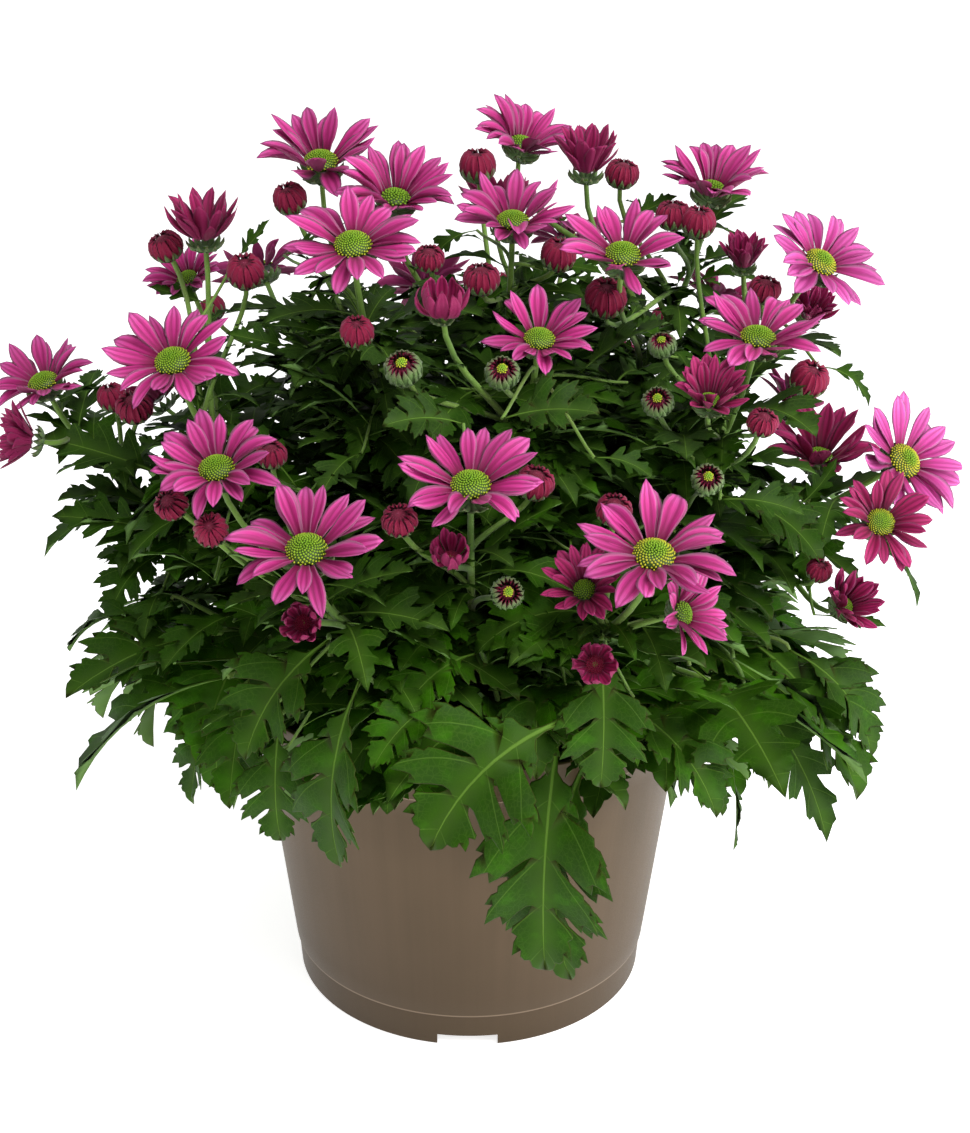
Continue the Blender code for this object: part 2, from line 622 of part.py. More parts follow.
def leaf_plan():
    """Every leaf, placed by rule: those hanging on the shoots, longest first, and those up the limbs."""
    draw = random.Random(SEED)
    shoot_leaves, limb_leaves = [], []
    for plant, turns in SHOOTS.items():
        for turn in turns:
            route = shoot_route(plant, turn)
            for i in range(SHOOT_LEAVES):
                share = 0.35 + 0.62 * i / (SHOOT_LEAVES - 1)
                swing = draw.uniform(10, 75) * (1 - 0.8 * share) * (1 if i % 2 else -1)
                pitch, droop = draw.uniform(-38, 18), draw.uniform(35, 70)
                length = draw.uniform(70, 94) * MM
                roll = draw.uniform(-15, 15)
                name = f"{plant}{turn}"
                root = stem_point(route, SHOOT_POINTS, share)
                shoot_leaves.append(Leaf(plant, name, root, turn + 2.4 * swing, pitch, droop, roll, length))
    for limb, (plant, _) in LIMBS.items():
        route = limb_route(limb)
        count = round((route[3] - route[0]).length / LEAF_SPACING)
        turn = draw.uniform(0, 360)
        for i in range(count):
            share = 0.12 + 0.8 * i / (count - 1)
            root = stem_point(route, LIMB_POINTS, share)
            outward = math.degrees(math.atan2(root.x, -root.y))
            turn += 137.5
            swing = draw.uniform(0, 80) * (1 if i % 2 else -1)
            heading = turn if plant == "plant_crown" else outward + swing
            length = (92 - 58 * share**0.8) * draw.uniform(0.85, 1.1) * MM
            pitch = draw.uniform(5, 35) + 25 * share
            droop = draw.uniform(50, 95) - 25 * share
            limb_leaves.append(Leaf(plant, limb, root, heading, pitch, droop, draw.uniform(-16, 16), length))
    draw.shuffle(limb_leaves)
    return {"shoot": sorted(shoot_leaves, key=lambda leaf: -leaf.length), "limb": limb_leaves}


def hides_flower(leaf):
    """True where the leaf would lie in front of or through a flower or bud."""
    points = [leaf_point(leaf, s, w * way) for s, w in LEAF_MARGIN[1:] for way in (1, -1)]
    for head in HEADS:
        out, size = heading_vector(head.turn, head.rise), head.across * MM
        for point in points:
            ahead = (point - middle(head)).dot(out)
            aside = (point - middle(head) - out * ahead).length
            if aside < 0.52 * size and -0.25 * size < ahead < 0.9 * size:
                return True
    return False


def tree_of(obj):
    mesh = obj.data
    return BVHTree.FromPolygons([v.co for v in mesh.vertices], [tuple(p.vertices) for p in mesh.polygons])


def build_plants(collection, finish, placed):
    """Each plant's stems, calyces, opening flowers, buds and leaves, joined in one solid."""
    stems, parts = {}, {plant: [] for plant in PLANTS}

    def grow(plant, name, piece):
        parts[plant].append(piece)
        placed.append((plant, name, tree_of(piece)))

    for plant, (x, y) in PLANTS.items():
        ends = [Vector((x * MM, y * MM, z)) for z in (SOIL_TOP - STEM_DEPTH, SOIL_TOP + STEM_RISE)]
        stems[plant] = tube(plant, ends, (STEM_RADIUS, STEM_RADIUS), collection, 2)
    for plant, turns in SHOOTS.items():
        for turn in turns:
            name = f"{plant}{turn}"
            route = shoot_route(plant, turn)
            grow(plant, name, stem(name, route, SHOOT_POINTS, LIMB_RADIUS, None, collection))
    for head in HEADS:
        plant, leader = LIMBS[head.limb]
        if head.name == leader:
            piece = stem(head.limb, limb_route(head.limb), LIMB_POINTS, LIMB_RADIUS, head, collection)
            grow(plant, head.limb, piece)
        else:
            route = stalk_route(head)
            grow(plant, "stalk", stem("stalk", route, STALK_POINTS, STALK_RADIUS, head, collection))
        for piece in fused_parts(head, collection):
            grow(plant, head.name, piece)
    for kind, leaves in leaf_plan().items():
        room = MOST_LEAVES[kind]
        for leaf in leaves:
            if not room or hides_flower(leaf):
                continue
            guard = thicken(leaf_sheet(leaf), "guard", LEAF_THICKNESS + 2 * LEAF_CLEARANCE, collection)
            tree = tree_of(guard)
            bpy.data.objects.remove(guard)
            if not any(name != leaf.limb and tree.overlap(other) for _, name, other in placed):
                grow(leaf.plant, "leaf", thicken(leaf_sheet(leaf), "leaf", LEAF_THICKNESS, collection))
                room -= 1
    for plant, base in stems.items():
        join(base, parts[plant], Matrix.Identity(4), finish)


def main():
    clear_scene()
    collection = bpy.data.collections.new("pot_chrysanthemum")
    bpy.context.scene.collection.children.link(collection)
    finishes = {name: material(name) for name in COLOURS}
    pot = build_pot(collection, finishes["taupe_plastic"])
    soil = build_soil(collection, finishes["potting_soil"])
    placed = [("", obj.name, tree_of(obj)) for obj in (pot, soil)]
    for head in HEADS:
        if head.kind in ("open", "cup", "crown"):
            placed += [("", obj.name, tree_of(obj)) for obj in build_flower(head, collection, finishes)]
    build_plants(collection, finishes["foliage"], placed)


main()
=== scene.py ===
import json
import math
import random

import bmesh
import bpy
from mathutils import Matrix, Vector, noise
from mathutils.geometry import delaunay_2d_cdt

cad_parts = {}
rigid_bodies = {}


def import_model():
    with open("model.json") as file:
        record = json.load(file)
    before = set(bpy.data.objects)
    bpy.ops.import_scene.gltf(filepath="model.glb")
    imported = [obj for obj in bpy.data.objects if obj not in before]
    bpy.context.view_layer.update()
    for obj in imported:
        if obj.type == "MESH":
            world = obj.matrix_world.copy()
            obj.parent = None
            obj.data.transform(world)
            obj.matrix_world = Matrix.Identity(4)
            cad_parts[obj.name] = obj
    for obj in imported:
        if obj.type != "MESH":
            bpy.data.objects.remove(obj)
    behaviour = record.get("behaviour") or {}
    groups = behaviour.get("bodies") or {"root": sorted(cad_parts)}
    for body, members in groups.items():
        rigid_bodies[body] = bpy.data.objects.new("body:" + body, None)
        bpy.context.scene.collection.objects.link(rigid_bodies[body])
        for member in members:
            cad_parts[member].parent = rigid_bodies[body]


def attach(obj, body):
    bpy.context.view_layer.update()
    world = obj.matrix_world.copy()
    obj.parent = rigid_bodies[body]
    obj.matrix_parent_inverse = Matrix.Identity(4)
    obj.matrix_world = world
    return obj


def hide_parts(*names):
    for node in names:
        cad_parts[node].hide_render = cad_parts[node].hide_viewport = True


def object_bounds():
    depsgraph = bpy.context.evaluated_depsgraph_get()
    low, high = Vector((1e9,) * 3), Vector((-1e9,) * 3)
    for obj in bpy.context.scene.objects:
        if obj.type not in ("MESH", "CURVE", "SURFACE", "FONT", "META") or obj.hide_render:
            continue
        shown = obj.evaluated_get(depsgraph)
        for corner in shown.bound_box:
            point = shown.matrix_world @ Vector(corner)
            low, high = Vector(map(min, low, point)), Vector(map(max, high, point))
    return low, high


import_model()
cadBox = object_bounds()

# Pot chrysanthemum: daisy blooms, buds and lobed leaves over a taupe plastic pot.
# Everything is in metres about the middle of the pot's foot, with the viewer at -Y.

mm = 0.001
viewer = Vector((0.0062, -0.6741, 0.4517))  # where the photo was taken from
bpy.context.scene.view_settings.view_transform = "Standard"


def hexToLinear(hexCode):
    channels = [int(hexCode[i:i + 2], 16) / 255 for i in (1, 3, 5)]
    return [c / 12.92 if c <= 0.04045 else ((c + 0.055) / 1.055) ** 2.4 for c in channels] + [1.0]


def setSockets(tree, node, sockets):
    # links or sets a node's sockets by name or number: a node gives its first output, a #hex value its colour
    for key, value in sockets.items():
        if isinstance(value, bpy.types.Node):
            value = value.outputs[0]
        if isinstance(value, bpy.types.NodeSocket):
            tree.links.new(value, node.inputs[key])
        else:
            isColour = isinstance(value, str) and value.startswith("#")
            node.inputs[key].default_value = hexToLinear(value) if isColour else value


def addNode(tree, kind, sockets=None, ramp=None, **settings):
    # adds a node with its settings and sockets; kind is its type name, where ShaderNode may be left out
    isFull = kind.startswith(("GeometryNode", "FunctionNode", "NodeGroup"))
    node = tree.nodes.new(kind if isFull else "ShaderNode" + kind)
    for name, value in settings.items():
        setattr(node, name, value)
    for i, (place, hexCode) in enumerate(ramp or ()):
        stop = node.color_ramp.elements[i] if i < 2 else node.color_ramp.elements.new(place)
        stop.position = place
        stop.color = hexToLinear(hexCode)
    setSockets(tree, node, sockets or {})
    return node


def newMaterial(name, values):
    # gives the material, its tree, its shader and the object coordinates that its patterns read
    material = bpy.data.materials.new(name)
    material.use_nodes = True
    tree = material.node_tree
    shader = tree.nodes["Principled BSDF"]
    setSockets(tree, shader, values)
    return material, tree, shader, addNode(tree, "TexCoord").outputs["Object"]


def addObject(name, data):
    made = bpy.data.objects.new(name, data)
    bpy.context.scene.collection.objects.link(made)
    return made


def meshFrom(name, shape):
    # turns an edit mesh into a plain mesh and frees it
    mesh = bpy.data.meshes.new(name)
    shape.to_mesh(mesh)
    shape.free()
    return mesh


def evaluated(carrier):
    # the plain mesh of an object with its modifiers applied
    return bpy.data.meshes.new_from_object(carrier.evaluated_get(bpy.context.evaluated_depsgraph_get()))


# materials
def mouldedPolypropylene(look):
    # PP, injection moulded in a polished tool: satin, with faint flow streaks down the wall from the rim
    material, tree, shader, place = newMaterial(
        "mouldedPolypropylene", {"IOR": 1.49, "Specular IOR Level": 0.18})
    split = addNode(tree, "SeparateXYZ", {0: place})
    around = addNode(tree, "Math", {0: split.outputs[1], 1: split.outputs[0]}, operation="ARCTAN2")
    strip = addNode(tree, "CombineXYZ", {0: around, 1: split.outputs[2]})
    # one streak is about 6 mm of the wall's girth and as long as the wall
    streaks = addNode(tree, "Mapping", {0: strip, 3: (16.0, 3.0, 1.0)})
    streak = addNode(tree, "TexNoise", {0: streaks, "Scale": 1.0, "Detail": 4.0})
    cloud = addNode(tree, "TexNoise", {0: place, "Scale": 18.0, "Detail": 2.0})
    both = addNode(tree, "Math", {0: streak, 1: 0.6, 2: cloud}, operation="MULTIPLY_ADD")
    tone = addNode(tree, "MapRange", {0: both, 1: 0.55, 2: 1.05})
    colour = addNode(tree, "ValToRGB", {0: tone}, ramp=[(0, look["dark"]), (1, look["light"])])
    # painted shade: the lower wall is a little darker towards its foot, where less light falls
    height = addNode(tree, "MapRange", {0: split.outputs[2], 1: -20 * mm, 2: 90 * mm})
    shaded = addNode(tree, "Mix", {0: height, 6: look["foot"], 7: colour}, data_type="RGBA")
    # painted highlight: the tops of the two bands are drawn as thin pale lines, where their edges catch the
    # light
    lines = []
    for line in look["lines"]:
        away = addNode(tree, "Math", {0: split.outputs[2], 1: line}, operation="SUBTRACT")
        near = addNode(tree, "Math", {0: away}, operation="ABSOLUTE")
        lines.append(addNode(tree, "MapRange", {0: near, 1: 0.2 * mm, 2: 0.55 * mm, 3: 0.5, 4: 0.0}))
    both = addNode(tree, "Math", {0: lines[0], 1: lines[1]}, operation="MAXIMUM")
    lined = addNode(tree, "Mix", {0: both, 6: shaded.outputs[2], 7: look["line"]}, data_type="RGBA")
    # skin texture of about 0.5 mm
    skin = addNode(tree, "TexNoise", {0: place, "Scale": 1 / (0.5 * mm), "Detail": 2.0})
    bump = addNode(tree, "Bump", {"Strength": 0.12, "Distance": 0.05 * mm, "Height": skin})
    gloss = addNode(tree, "MapRange", {0: skin, 1: 0.3, 2: 0.7, 3: 0.38, 4: 0.5})
    setSockets(tree, shader, {"Base Color": lined.outputs[2], "Normal": bump, "Roughness": gloss})
    return material


def peatMix(look):
    # moist peat and bark potting mix: crumbly, dark, with paler fibres
    material, tree, shader, place = newMaterial("peatMix", {"Roughness": 0.95})
    crumb = addNode(tree, "TexVoronoi", {0: place, "Scale": 1 / (3 * mm)})
    grain = addNode(tree, "TexNoise", {0: place, "Scale": 1 / (1.2 * mm), "Detail": 4.0})
    tone = addNode(tree, "Math", {0: crumb, 1: grain}, operation="MULTIPLY")
    colour = addNode(tree, "ValToRGB", {0: tone}, ramp=[(0.05, look["dark"]), (0.6, look["fibre"])])
    bump = addNode(tree, "Bump", {"Strength": 0.8, "Distance": 0.6 * mm, "Height": grain})
    setSockets(tree, shader, {"Base Color": colour, "Normal": bump})
    return material


def livingLeaf(look):
    # a living chrysanthemum leaf: dull waxy upper side with sunk pale veins, greyer felted underside
    material, tree, shader, place = newMaterial("livingLeaf", {"IOR": 1.42, "Specular IOR Level": 0.1})
    blade = addNode(tree, "SeparateXYZ", {0: addNode(tree, "UVMap", uv_map="UVMap")})
    offset = addNode(tree, "Math", {0: blade.outputs[1], 1: 0.5}, operation="SUBTRACT")
    aside = addNode(tree, "Math", {0: offset}, operation="ABSOLUTE")
    # midrib, 2 mm wide at the stalk and fading to the tip
    thin = addNode(tree, "MapRange", {0: blade.outputs[0], 1: 0.2, 2: 1.0, 3: 0.009, 4: 0.002})
    rib = addNode(tree, "Math", {0: aside, 1: thin}, operation="DIVIDE")
    ribMask = addNode(tree, "MapRange", {0: rib, 1: 0.5, 2: 1.2, 3: 1.0, 4: 0.0})
    # side veins leave the midrib at a slant, one into each lobe
    curve = addNode(tree, "Math", {0: aside, 1: -look["curve"], 2: -look["slant"]}, operation="MULTIPLY_ADD")
    slant = addNode(tree, "Math", {0: aside, 1: curve, 2: blade.outputs[0]}, operation="MULTIPLY_ADD")
    lane = addNode(tree, "Math", {0: slant, 1: look["firstVein"]}, operation="SUBTRACT")
    fold = addNode(tree, "Math", {0: lane, 1: look["veinStep"] / 2}, operation="PINGPONG")
    sideMask = addNode(tree, "MapRange", {0: fold, 1: 0.001, 2: 0.006, 3: 0.42, 4: 0.0})
    small = addNode(tree, "Math", {0: lane, 1: look["veinStep"] / 8}, operation="PINGPONG")
    smallMask = addNode(tree, "MapRange", {0: small, 1: 0.0, 2: 0.005, 3: 0.1, 4: 0.0})
    # the blade is paler on both sides of the midrib
    halo = addNode(tree, "MapRange", {0: aside, 1: 0.0, 2: 0.08, 3: 0.24, 4: 0.0})
    ribMask = addNode(tree, "Math", {0: ribMask, 1: halo}, operation="MAXIMUM")
    veins = addNode(tree, "Math", {0: ribMask, 1: sideMask}, operation="MAXIMUM")
    veins = addNode(tree, "Math", {0: veins, 1: smallMask}, operation="MAXIMUM")
    # net of the finest veins, about 2 mm a mesh
    net = addNode(tree, "TexVoronoi", {0: place, "Scale": 1 / (2.2 * mm)}, feature="DISTANCE_TO_EDGE")
    netMask = addNode(tree, "MapRange", {0: net, 1: 0.0, 2: 0.08, 3: 0.14, 4: 0.0})
    mottle = addNode(tree, "TexNoise", {0: place, "Scale": 1 / (9 * mm), "Detail": 4.0})
    fresh = addNode(tree, "Attribute", attribute_name="fresh")
    young = addNode(tree, "Math", {0: mottle, 1: 1.1, 2: fresh.outputs[2]}, operation="MULTIPLY_ADD")
    tone = addNode(tree, "Math", {0: young, 1: 0.55}, operation="SUBTRACT")
    colour = addNode(tree, "ValToRGB", {0: tone},
                     ramp=[(0, look["old"]), (1, look["fresh"]), (0.5, look["middle"])])
    pale = addNode(tree, "Math", {0: veins, 1: netMask}, operation="MAXIMUM")
    paler = addNode(tree, "Math", {0: pale, 1: 0.6}, operation="MULTIPLY")
    upper = addNode(tree, "Mix", {0: paler, 6: colour, 7: look["vein"]}, data_type="RGBA")
    lower = addNode(tree, "Mix", {0: veins, 6: look["under"], 7: look["vein"]}, data_type="RGBA")
    top = addNode(tree, "Attribute", attribute_name="top")
    sided = addNode(tree, "Mix", {0: top.outputs[2], 6: lower.outputs[2], 7: upper.outputs[2]},
                    data_type="RGBA")
    margin = addNode(tree, "Attribute", attribute_name="margin")
    edge = addNode(tree, "MapRange", {0: margin.outputs[2], 1: 0.1, 2: 0.9, 4: look["marginShare"]})
    leafColour = addNode(tree, "Mix", {0: edge, 6: sided.outputs[2], 7: look["margin"]}, data_type="RGBA")
    # veins are sunk above and stand out below, and the blade is quilted between them
    flip = addNode(tree, "MapRange", {0: top.outputs[2], 3: 1.0, 4: -1.0})
    quilt = addNode(tree, "Math", {0: pale, 1: flip}, operation="MULTIPLY")
    grain = addNode(tree, "TexNoise", {0: place, "Scale": 1 / (0.6 * mm), "Detail": 2.0})
    relief = addNode(tree, "Math", {0: grain, 1: 0.25, 2: quilt}, operation="MULTIPLY_ADD")
    bump = addNode(tree, "Bump", {"Strength": 0.7, "Distance": 0.35 * mm, "Height": relief})
    gloss = addNode(tree, "MapRange", {0: top.outputs[2], 3: 0.75, 4: 0.5})
    setSockets(tree, shader, {"Base Color": leafColour.outputs[2], "Normal": bump, "Roughness": gloss})
    return material


def livingStem(look):
    # a soft green stem: fine ridges lengthwise, short pale down, redder in patches
    material, tree, shader, place = newMaterial(
        "livingStem", {"Roughness": 0.6, "IOR": 1.42, "Sheen Weight": 0.2})
    patch = addNode(tree, "TexNoise", {0: place, "Scale": 1 / (25 * mm), "Detail": 3.0})
    down = addNode(tree, "TexNoise", {0: place, "Scale": 1 / (0.7 * mm), "Detail": 3.0})
    colour = addNode(tree, "ValToRGB", {0: patch},
                     ramp=[(0.3, look["dark"]), (0.75, look["bruise"]), (0.5, look["light"])])
    fleck = addNode(tree, "MapRange", {0: down, 1: 0.58, 2: 0.75, 3: 0.0, 4: 0.5})
    stemColour = addNode(tree, "Mix", {0: fleck, 6: colour, 7: look["down"]}, data_type="RGBA")
    bump = addNode(tree, "Bump", {"Strength": 0.5, "Distance": 0.15 * mm, "Height": down})
    setSockets(tree, shader, {"Base Color": stemColour.outputs[2], "Normal": bump})
    return material


def livingPetal(name, look):
    # a ray petal: velvety cells, two or three grooves lengthwise, paler along its edges and deep at its foot
    material, tree, shader, place = newMaterial(name, {
        "Roughness": 0.55, "IOR": 1.4, "Specular IOR Level": 0.3, "Sheen Weight": 0.06,
        "Subsurface Weight": 0.08, "Subsurface Radius": (1.0, 0.3, 0.7), "Subsurface Scale": 1 * mm})
    petal = addNode(tree, "SeparateXYZ", {0: addNode(tree, "UVMap", uv_map="UVMap")})
    along, across = petal.outputs[0], petal.outputs[1]
    body = addNode(tree, "ValToRGB", {0: along}, ramp=[
        (0.12, look["foot"]), (0.95, look["tip"]), (0.36, look["body"]), (0.66, look["bright"])])
    offset = addNode(tree, "Math", {0: across, 1: 0.5}, operation="SUBTRACT")
    aside = addNode(tree, "Math", {0: offset}, operation="ABSOLUTE")
    edgeMask = addNode(tree, "MapRange", {0: aside, 1: 0.36, 2: 0.5, 3: 0.0, 4: look["edgeShare"]})
    rimmed = addNode(tree, "Mix", {0: edgeMask, 6: body, 7: look["edge"]}, data_type="RGBA")
    # painted shade and vein colour: the grooves are darker lines, painted shade in their recesses, and finer
    # veins about 0.4 mm apart run between them as darker streaks
    wave = addNode(tree, "Math", {0: offset, 1: math.tau * look["grooves"]}, operation="MULTIPLY")
    groove = addNode(tree, "Math", {0: wave}, operation="COSINE")
    streakPlace = addNode(tree, "Mapping", {0: addNode(tree, "UVMap", uv_map="UVMap"), 3: (2.0, 26.0, 1.0)})
    fresh = addNode(tree, "Attribute", attribute_name="fresh")
    streak = addNode(tree, "TexNoise", {0: streakPlace, 1: fresh.outputs[2], "Scale": 1.0, "Detail": 3.0},
                     noise_dimensions="4D")
    lines = addNode(tree, "Math", {0: groove, 1: 0.22, 2: streak}, operation="MULTIPLY_ADD")
    dark = addNode(tree, "MapRange", {0: lines, 1: 0.3, 2: 0.72, 3: 0.0, 4: 1.0})
    lined = addNode(tree, "Mix", {0: look["veinAndGrooveShadeShare"], 6: rimmed.outputs[2], 7: look["line"]},
                    data_type="RGBA")
    veinsAndGrooveShade = addNode(tree, "Mix", {0: dark, 6: lined.outputs[2], 7: rimmed.outputs[2]}, data_type="RGBA")
    # each petal is a shade lighter or darker than its neighbour
    shade = addNode(tree, "MapRange", {0: fresh.outputs[2], 3: 0.82, 4: 1.12})
    shaded = addNode(tree, "VectorMath", {0: veinsAndGrooveShade.outputs[2], 3: shade}, operation="SCALE")
    top = addNode(tree, "Attribute", attribute_name="top")
    sided = addNode(tree, "Mix", {0: top.outputs[2], 6: look["under"], 7: shaded}, data_type="RGBA")
    cells = addNode(tree, "TexNoise", {0: place, "Scale": 1 / (0.35 * mm), "Detail": 1.0})
    relief = addNode(tree, "Math", {0: cells, 1: 0.3, 2: lines}, operation="MULTIPLY_ADD")
    bump = addNode(tree, "Bump", {"Strength": 0.6, "Distance": 0.25 * mm, "Height": relief})
    setSockets(tree, shader, {"Base Color": sided.outputs[2], "Normal": bump})
    return material


def livingFloret(look):
    # tube florets: tight green buds in the middle of the disc, opening yellow towards its rim
    material, tree, shader, place = newMaterial("livingFloret", {"Roughness": 0.5, "IOR": 1.42})
    rim = addNode(tree, "Attribute", attribute_name="rim")
    peak = addNode(tree, "Attribute", attribute_name="peak")
    age = addNode(tree, "Attribute", attribute_name="age")
    ripe = addNode(tree, "Math", {0: rim.outputs[2], 1: age.outputs[2]}, operation="MULTIPLY")
    colour = addNode(tree, "ValToRGB", {0: ripe},
                     ramp=[(0, look["middle"]), (0.95, look["rim"]), (0.6, look["body"])])
    # painted shade: the neck of each floret and the dome under the florets take the dark gap colour, as shade
    # between the florets
    lit = addNode(tree, "Mix", {0: peak.outputs[2], 6: look["gap"], 7: colour}, data_type="RGBA")
    pore = addNode(tree, "TexNoise", {0: place, "Scale": 1 / (0.25 * mm), "Detail": 1.0})
    bump = addNode(tree, "Bump", {"Strength": 0.3, "Distance": 0.1 * mm, "Height": pore})
    setSockets(tree, shader, {"Base Color": lit.outputs[2], "Normal": bump})
    return material


def budBract(look):
    # the green scales that hold a bud: pale dry margins, a darker keel, often a purple tip
    material, tree, shader, place = newMaterial(
        "budBract", {"Roughness": 0.6, "IOR": 1.42, "Sheen Weight": 0.15})
    scale = addNode(tree, "SeparateXYZ", {0: addNode(tree, "UVMap", uv_map="UVMap")})
    offset = addNode(tree, "Math", {0: scale.outputs[1], 1: 0.5}, operation="SUBTRACT")
    aside = addNode(tree, "Math", {0: offset}, operation="ABSOLUTE")
    length = addNode(tree, "ValToRGB", {0: scale.outputs[0]},
                     ramp=[(0.2, look["foot"]), (1, look["tip"]), (0.75, look["body"])])
    margin = addNode(tree, "MapRange", {0: aside, 1: 0.34, 2: 0.48, 3: 0.0, 4: 0.6})
    edged = addNode(tree, "Mix", {0: margin, 6: length, 7: look["margin"]}, data_type="RGBA")
    felt = addNode(tree, "TexNoise", {0: place, "Scale": 1 / (0.5 * mm), "Detail": 3.0})
    bump = addNode(tree, "Bump", {"Strength": 0.6, "Distance": 0.2 * mm, "Height": felt})
    setSockets(tree, shader, {"Base Color": edged.outputs[2], "Normal": bump})
    return material


def mattPaper(look):
    # the studio's paper sweep: matt, even, no sheen
    material, tree, shader, place = newMaterial("mattPaper", {"Roughness": 0.9})
    fibre = addNode(tree, "TexNoise", {0: place, "Scale": 1 / (4 * mm), "Detail": 2.0})
    colour = addNode(tree, "ValToRGB", {0: fibre}, ramp=[(0, look["dark"]), (1, look["light"])])
    # the sweep is lit from behind, as a light table is
    setSockets(tree, shader, {"Base Color": colour, "Emission Color": (1, 1, 1, 1),
                              "Emission Strength": look["glow"]})
    return material


finishes = {
    "pot": mouldedPolypropylene({
        # foot is the painted shade of the lower wall
        "dark": "#544430", "light": "#604E3A", "foot": "#463828", "line": "#98836E",
        # line and lines: the colour and the heights of the painted highlights on the tops of the two bands
        "lines": (16 * mm, 127 * mm),
    }),
    "soil": peatMix({"dark": "#1E140D", "fibre": "#5A4330"}),
    "leaf": livingLeaf({
        "old": "#253C12", "middle": "#264806", "fresh": "#387004", "vein": "#6E9438", "under": "#5E7E46",
        "slant": 0.6, "curve": 1.5, "firstVein": 0.27, "veinStep": 0.2, "margin": "#342410",
        "marginShare": 0.6,
    }),
    "stem": livingStem({"dark": "#42641E", "light": "#6C9034", "bruise": "#5A6A2C", "down": "#9FB670"}),
    # in the petal looks, line is vein colour and also the painted shade in the grooves
    "ray": livingPetal("livingRayPetal", {
        "foot": "#780C40", "body": "#B02474", "bright": "#C83A8C", "tip": "#D25CA6", "edge": "#E8AACE",
        "edgeShare": 0.68, "line": "#7A1248", "veinAndGrooveShadeShare": 0.66, "grooves": 3, "under": "#963066",
    }),
    "pale": livingPetal("livingPalePetal", {
        "foot": "#8A1650", "body": "#BC388A", "bright": "#CE54A4", "tip": "#D86CB4", "edge": "#E6A8D0",
        "edgeShare": 0.6, "line": "#82205A", "veinAndGrooveShadeShare": 0.6, "grooves": 3, "under": "#A03C78",
    }),
    "young": livingPetal("livingYoungPetal", {
        "foot": "#620A30", "body": "#981650", "bright": "#AC2464", "tip": "#AE2A6A", "edge": "#CE6A98",
        "edgeShare": 0.5, "line": "#560A2A", "veinAndGrooveShadeShare": 0.6, "grooves": 3, "under": "#82184A",
    }),
    "folded": livingPetal("livingFoldedPetal", {
        "foot": "#3C0718", "body": "#70102C", "bright": "#86183C", "tip": "#6A0E2C", "edge": "#B85878",
        "edgeShare": 0.5, "line": "#3A0618", "veinAndGrooveShadeShare": 0.6, "grooves": 2, "under": "#86143A",
    }),
    # gap is the painted shade between the florets
    "floret": livingFloret({"middle": "#6E9C14", "body": "#8EB222", "rim": "#C4C02A", "gap": "#2E4A08"}),
    "bract": budBract({"foot": "#4F6F35", "body": "#5E7C40", "tip": "#5C4A3A", "margin": "#687E48"}),
}
print("materials ready:", len(finishes))


# growth trees
def addInputs(tree, inputs):
    tree.interface.new_socket("Geometry", in_out="OUTPUT", socket_type="NodeSocketGeometry")
    for name, kind in inputs:
        tree.interface.new_socket(name, in_out="INPUT", socket_type="NodeSocket" + kind)
    return addNode(tree, "NodeGroupInput").outputs


def endTree(tree, shape, finish):
    # makes the tree's instances real and gives them their material
    solid = addNode(tree, "GeometryNodeRealizeInstances", {0: shape})
    finished = addNode(tree, "GeometryNodeSetMaterial", {0: solid, "Material": finish})
    addNode(tree, "NodeGroupOutput", {0: finished})
    return tree


def aroundAxis(tree, angle, radius):
    # the x and y of a place at an angle and radius about the axis
    turns = [addNode(tree, "Math", {0: angle}, operation=operation) for operation in ("COSINE", "SINE")]
    return [addNode(tree, "Math", {0: turn, 1: radius}, operation="MULTIPLY") for turn in turns]


